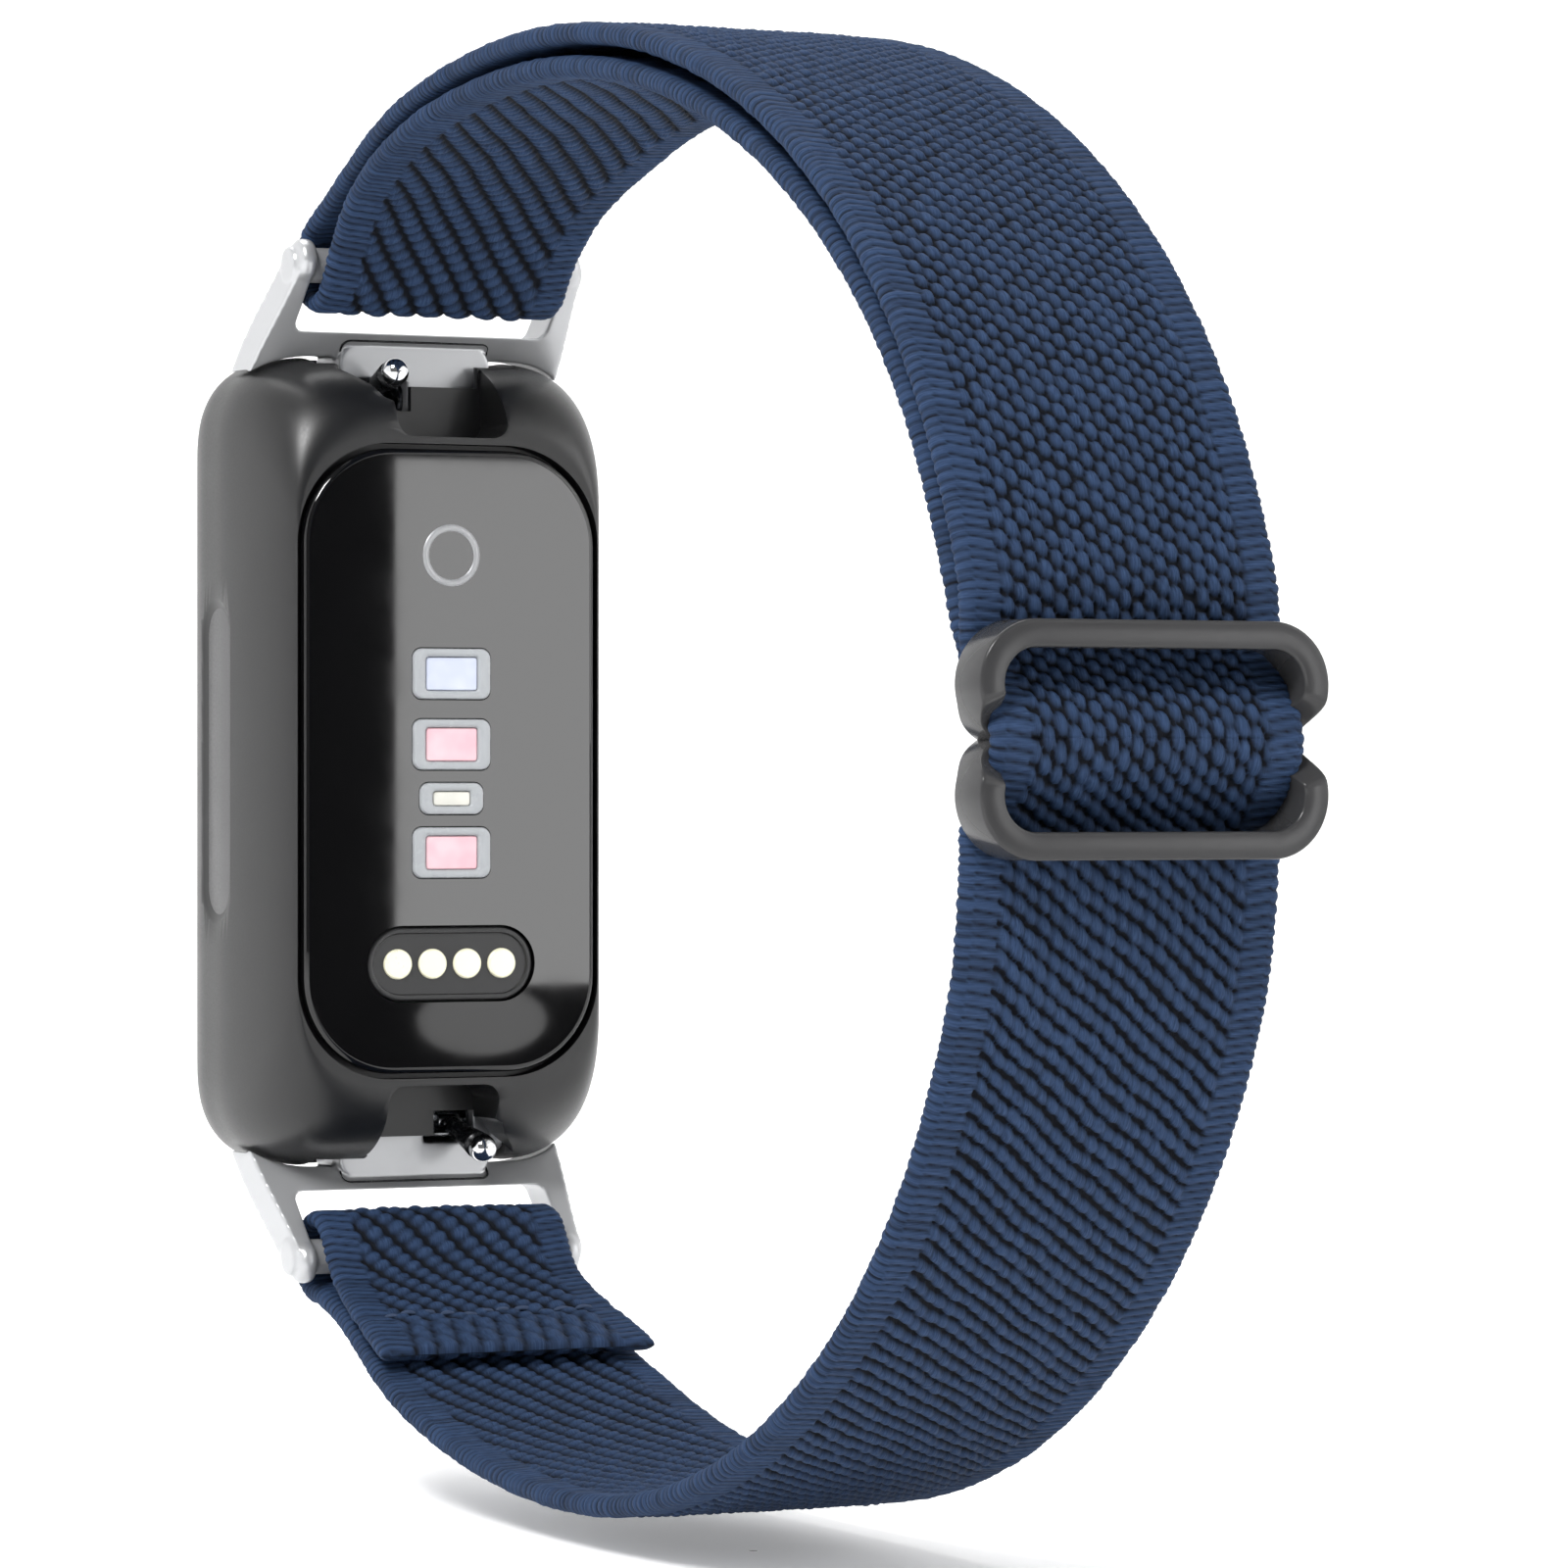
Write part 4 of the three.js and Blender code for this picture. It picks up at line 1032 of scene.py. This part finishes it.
ARM_BASE = np.array([39.5, 19.4])
ARM_TIP = np.array([34.9, 24.0])
ARM_DIRECTION = (ARM_TIP - ARM_BASE) / np.linalg.norm(ARM_TIP - ARM_BASE)
ARM_LENGTH = float(np.linalg.norm(ARM_TIP - ARM_BASE))
ARM_OUT = np.array([ARM_DIRECTION[1], -ARM_DIRECTION[0]])
CROSSBAR_TOP = 20.75
LEVER_X = -2.3
BALL_Y, BALL_Z, BALL_RADIUS = 34.5, 18.75, 0.68


def tilted(points):
    """Points (x, depth, along) of the upper adapter's plate, turned to the slope of its arms."""
    points = np.asarray(points, float)
    y = ARM_BASE[0] + points[..., 1] * ARM_OUT[0] + points[..., 2] * ARM_DIRECTION[0]
    z = ARM_BASE[1] + points[..., 1] * ARM_OUT[1] + points[..., 2] * ARM_DIRECTION[1]
    return np.stack([points[..., 0], y, z], axis=-1)


def retilt(obj):
    """Turn a mesh made square on to the slope of the arms."""
    co = np.empty(len(obj.data.vertices) * 3, np.float32)
    obj.data.vertices.foreach_get("co", co)
    moved = tilted(co.reshape(-1, 3) / MM) * MM
    obj.data.vertices.foreach_set("co", moved.astype(np.float32).ravel())
    obj.data.update()
    return obj


def rod_x(radius, x0, x1, y, z, round_edge=0.0):
    """A rod along X with rounded rims."""
    rows = []
    stations = [(x0, radius - round_edge)]
    if round_edge:
        for a in np.radians(np.linspace(15, 90, 6)):
            stations.append((x0 + round_edge * (1 - math.cos(a)), radius - round_edge * (1 - math.sin(a))))
        stations += [(x0 + x1 - x, r) for x, r in reversed(stations)]
    else:
        stations.append((x1, radius))
    for x, r in stations:
        rows.append([(x, y + r * math.cos(a), z + r * math.sin(a)) for a in turn_angles(40)])
    return grid_mesh("rod", np.array(rows), SILVER)


def u_plate_outline():
    """The plate's outline seen square on: two tapering arms joined by the crossbar."""
    tip, slot, corner = ARM_LENGTH + 0.1, 2.9, 0.5
    left = []
    for along in np.linspace(-2.4, tip, 14):
        left.append((-8.15 + 0.8 * float(smoothstep(-1.0, tip + 1.5, along)), along))
    inner = [(-6.5, tip), (-6.6, slot + corner)]
    for a in np.radians(np.linspace(180, 270, 8)):
        inner.append((-6.6 + corner + corner * math.cos(a), slot + corner + corner * math.sin(a)))
    half = left + inner
    return half + [(-x, s) for x, s in reversed(half)]


def grown_case():
    """The case with a small clearance, to cut the adapters' arms with."""
    rings = []
    for y in np.linspace(CASE_BACK - 0.4, CASE_FRONT + 0.4, 36):
        inside = min(max(y, CASE_BACK), CASE_FRONT)
        rings.append([(x, y, z) for x, z in case_section(inside, CASE_CLEARANCE, 16, 4)])
    return grid_mesh("cutter", np.array(rings), CASE_BLACK)


def adapter_body():
    """The upper adapter's cast frame: arms, crossbar, strap bar and lug, run together smoothly."""
    outline = u_plate_outline()
    plate = slab("plate", outline, -0.92, 0.92)
    normalise(plate)
    retilt(plate)
    gap = shifted(rounded_outline(6.6, 4.0, 0.5, 8, 2), 0, CROSSBAR_TOP + 4.0)
    subtract(plate, [grown_case(), slab("cutter", gap, 30, 45)])
    pieces = [plate]
    for side in (1, -1):
        x0, x1 = sorted((side * 6.45, side * 7.35))
        pieces.append(rod_x(1.02, x0, x1, ARM_TIP[0], ARM_TIP[1], 0.35))
    pieces.append(rod_x(0.85, -7.6, 7.6, BAR_Y, BAR_Z))
    lug = slab("lug", shifted(rounded_outline(3.95, 1.5, 0.7, 8, 2), 0, 18.6), HINGE_Y - 1.6, HINGE_Y + 1.6)
    nose = rod_x(1.6, -5, 5, HINGE_Y, HINGE_Z, 0.2)
    lever_room = box_solid(-3.05, -0.45, 30, HINGE_Y, HINGE_Z - 1.4, HINGE_Z + 1.0)
    bore = rod_x(1.0, -6, 6, HINGE_Y, HINGE_Z)
    for part in (lug, nose):
        normalise(part)
        copies = [lever_room.copy(), bore.copy()]
        for copy in copies:
            copy.data = copy.data.copy()
            bpy.context.scene.collection.objects.link(copy)
        subtract(part, copies)
        pieces.append(part)
    for cutter in (lever_room, bore):
        bpy.data.objects.remove(cutter)
    body = joined("upper_adapter_visual", pieces)
    remesh = body.modifiers.new("remesh", "REMESH")
    remesh.mode = "VOXEL"
    remesh.voxel_size = 0.085 * MM
    remesh.use_smooth_shade = True
    smooth = body.modifiers.new("smooth", "SMOOTH")
    smooth.factor = 0.5
    smooth.iterations = 9
    apply_modifiers(body)
    body.data.shade_smooth()
    body.data.materials.clear()
    body.data.materials.append(SILVER)
    return body


def tube_along(points, radius, material, name):
    """A round thread or wire through points, tapered to rounded ends."""
    points = np.asarray(points, float)
    tangent = np.gradient(points, axis=0)
    tangent /= np.linalg.norm(tangent, axis=1, keepdims=True)
    rows = []
    side = np.array([0.0, 0.0, 1.0])
    for i, (point, t) in enumerate(zip(points, tangent)):
        u = np.cross(t, side if abs(t @ side) < 0.9 else np.array([0.0, 1.0, 0.0]))
        u /= np.linalg.norm(u)
        v = np.cross(t, u)
        share = i / (len(points) - 1)
        r = radius * min(1, 0.35 + 4 * min(share, 1 - share))
        rows.append([point + r * (math.cos(a) * u + math.sin(a) * v) for a in turn_angles(10)])
    obj = grid_mesh(name, np.array(rows), material)
    normalise(obj)
    return obj


def groove_line():
    """The dark line round the raised panel on the crossbar."""
    outline = rounded_outline(3.85, 0.5, 0.4, 8, 8)
    points = [(x, -0.95, z + 1.85) for x, z in outline]
    return tilted(points + points[:1])


def lever_profile():
    """The release lever's stalk, from the pin out to the ball."""
    root = np.array([HINGE_Y, HINGE_Z])
    ball = np.array([BALL_Y, BALL_Z])
    rows = []
    for t in np.linspace(0.16, 0.9, 12):
        centre = root + (ball - root) * t
        r = 0.42 + 0.24 * ((t - 0.16) / 0.74) ** 1.5
        along = (ball - root) / np.linalg.norm(ball - root)
        across = np.array([-along[1], along[0]])
        rows.append([(LEVER_X + 1.08 * r * math.cos(a), *(centre + across * r * math.sin(a)))
                     for a in turn_angles(32)])
    return np.array(rows)


def ball_rows():
    """The round head of the lever."""
    rows = []
    for a in np.linspace(0, math.pi, 26)[1:-1]:
        ring, y = BALL_RADIUS * math.sin(a), BALL_Y - BALL_RADIUS * math.cos(a)
        rows.append([(LEVER_X + ring * math.cos(b), y, BALL_Z + ring * math.sin(b)) for b in turn_angles(40)])
    return np.array(rows)


def place_adapter(end, body_mesh):
    """One adapter's pieces: the lower end is the upper one turned half a turn about Y."""
    turn = Matrix.Identity(4) if end == "upper" else Matrix.Rotation(math.pi, 4, "Y")

    def put(obj, name, body, nodes):
        obj.name = name
        obj.data.transform(turn)
        if nodes:
            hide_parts(*nodes)
        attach(obj, body)

    adapter = bpy.data.objects.new("adapter", body_mesh.copy())
    bpy.context.scene.collection.objects.link(adapter)
    put(adapter, f"{end}_adapter_cast", f"{end}_adapter", [f"{end}_adapter_frame"])
    groove = tube_along(groove_line(), 0.055, LEVER, "groove")
    put(groove, f"{end}_panel_line", f"{end}_adapter", [])
    stalk = grid_mesh("stalk", lever_profile(), LEVER)
    normalise(stalk)
    put(stalk, f"{end}_lever_stalk_visual", f"{end}_release", [f"{end}_lever_stalk"])
    ball = grid_mesh("ball", ball_rows(), STEEL)
    normalise(ball)
    put(ball, f"{end}_lever_ball_visual", f"{end}_release", [f"{end}_lever_ball"])
    pin = rod_x(0.5, -6.4, -1.7, HINGE_Y, HINGE_Z, 0.12)
    pin.data.materials[0] = PIN_STEEL
    normalise(pin)
    put(pin, f"{end}_release_pin_visual", f"{end}_release", [f"{end}_release_pin"])
    tip = rod_x(0.5, 4.0, 6.4, HINGE_Y, HINGE_Z, 0.12)
    tip.data.materials[0] = PIN_STEEL
    normalise(tip)
    put(tip, f"{end}_fixed_tip_visual", f"{end}_adapter", [f"{end}_fixed_tip"])


def adapters():
    body = adapter_body()
    for end in ("upper", "lower"):
        place_adapter(end, body.data)
    bpy.data.objects.remove(body)


# ---- Stitching ----------------------------------------------------------------------------

def stitches(name, s_at, node, body, reach=5.4, seed=3):
    """A row of uneven hand-length stitches across the webbing."""
    index = int(np.searchsorted(ALONG, s_at))
    pieces = []
    x = -reach
    count = 0
    while x < reach:
        length = 0.72 + 0.3 * hashed(count, seed, 21)
        drift = int(round(5 * (hashed(count, seed, 22) - 0.5)))
        base = PATH[index + drift]
        out = NORMAL[index + drift]
        level = half_thickness(ALONG[index : index + 1])[0] + 0.05
        line = []
        for t in np.linspace(0, 1, 9):
            lift = level + 0.1 * math.sin(math.pi * t)
            slope = 0.12 * (hashed(count, seed, 23) - 0.5) * (t - 0.5)
            y, z = base + out * lift
            line.append((x + length * t, y + slope, z))
        pieces.append(tube_along(line, 0.115, THREAD, "stitch"))
        x += length + 0.12 + 0.1 * hashed(count, seed, 24)
        count += 1
    row = joined(name, pieces)
    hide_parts(node)
    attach(row, body)


# ---- Hidden pieces keep their CAD shapes ---------------------------------------------------

def finish_hidden():
    """The CAD nodes that stay get their materials."""
    finishes = {
        "sensor_board": CIRCUIT, "main_board": CIRCUIT, "battery": FOIL, "vibration_motor": PIN_STEEL,
        "display_panel": DISPLAY, "display_gasket": RUBBER,
        "upper_spring_bar_tube": PIN_STEEL, "lower_spring_bar_tube": PIN_STEEL,
        "upper_release_spring": PIN_STEEL, "lower_release_spring": PIN_STEEL,
    }
    for name, material in finishes.items():
        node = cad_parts[name]
        for material_slot in node.material_slots:
            material_slot.material = material


# ---- Camera, light and floor, in metres ---------------------------------------------------

CAMERA_AIM = (0.00035, -0.0023, -0.0011)
CAMERA_AZIMUTH = -26.4  # degrees from straight behind the slider
CAMERA_DISTANCE = 0.280
CAMERA_LENS = 148.6
FLOOR_Z = -0.0345
FLAT_RADIUS, BEND, WALL_TOP = 0.6, 0.3, 1.3  # the surround: a flat floor that bends up into a wall


def black_backdrop():
    """A black card beside the softbox, for the gloss back plate to mirror."""
    material = grainy("black card", linear(2, 2, 2), 0.9, bump=0.0, grain=200)
    rows = [[(x, -272.0, z) for x in (60.0, 190.0)] for z in (-60.0, 60.0)]
    card = grid_mesh("black_backdrop", np.array(rows), material, closed_across=False, caps=False)
    card.visible_camera = False


def studio():
    scene = bpy.context.scene
    scene.view_settings.view_transform = "Standard"
    scene.view_settings.look = "None"
    world = bpy.data.worlds.new("studio")
    world.use_nodes = True
    world.node_tree.nodes["Background"].inputs["Color"].default_value = (1, 1, 1, 1)
    world.node_tree.nodes["Background"].inputs["Strength"].default_value = 0.2
    scene.world = world
    backlit = {"Emission Strength": 0.22, "Emission Color": (1, 1, 1, 1)}
    floor_material = grainy("pale floor", linear(250, 250, 250), 0.9, bump=0.0, grain=200, **backlit)
    profile = [(0.0002, 0.0)] + [(radius, 0.0) for radius in np.linspace(0.08, FLAT_RADIUS, 9)]
    for a in np.radians(np.linspace(6, 90, 15)):
        profile.append((FLAT_RADIUS + BEND * math.sin(a), BEND - BEND * math.cos(a)))
    profile.append((FLAT_RADIUS + BEND, WALL_TOP))
    rows = []
    for radius, up in profile:
        row = []
        for a in np.linspace(-180, 180, 73):
            rise = up * float(1 - smoothstep(125, 150, abs(a)))
            around = math.radians(90 + CAMERA_AZIMUTH - a)
            point = (radius * math.cos(around), radius * math.sin(around), FLOOR_Z + rise)
            row.append([v / MM for v in point])
        rows.append(row)
    floor = grid_mesh("floor", np.array(rows), floor_material, closed_across=False, caps=False)
    camera_data = bpy.data.cameras.new("camera")
    camera_data.lens = CAMERA_LENS
    camera_data.clip_start = 0.01
    camera = bpy.data.objects.new("camera", camera_data)
    scene.collection.objects.link(camera)
    aim = Vector(CAMERA_AIM)
    azimuth = math.radians(CAMERA_AZIMUTH)
    back = Vector((math.sin(azimuth), -math.cos(azimuth), 0))
    camera.location = aim + back * CAMERA_DISTANCE
    camera.rotation_euler = (-back).to_track_quat("-Z", "Y").to_euler()
    scene.camera = camera

    def area(name, location, target, size, energy, shape="RECTANGLE", size_y=None):
        data = bpy.data.lights.new(name, "AREA")
        data.energy = energy
        data.shape = shape
        data.size = size
        data.size_y = size_y or size
        light = bpy.data.objects.new(name, data)
        light.location = location
        light.rotation_euler = (Vector(target) - Vector(location)).to_track_quat("-Z", "Y").to_euler()
        scene.collection.objects.link(light)

    area("key", (-0.38, -0.32, 0.48), (0, 0, 0), 0.2, 5.0)
    area("fill", (0.45, -0.35, 0.15), (0, 0, 0), 0.3, 0.6)
    area("top", (0.0, 0.25, 0.6), (0, 0, 0), 0.4, 2.2)
    area("softbox", (0.1502, -0.267, 0.005), (0.1502, 0, 0.005), 0.052, 0.047, size_y=0.052)
    area("low softbox", (0.1335, -0.267, -0.0245), (0.1335, 0, -0.0245), 0.014, 0.0006, "ELLIPSE", 0.007)
    area("low side softbox", (0.164, -0.267, -0.028), (0.164, 0, -0.028), 0.026, 0.003, size_y=0.014)
    black_backdrop()


tracker_case()
squeeze_pads()
sensor_face()
display_side()
adapters()
slider_frame()
stitches("tail_stitches", TAIL_SEAM, "tail_seam", "tracker")
stitches("sewn_end_stitches", nearest(-31.75, 4.0, 0, 12), "sewn_end_seam", "slider", 5.0, 5)
finish_hidden()
studio()
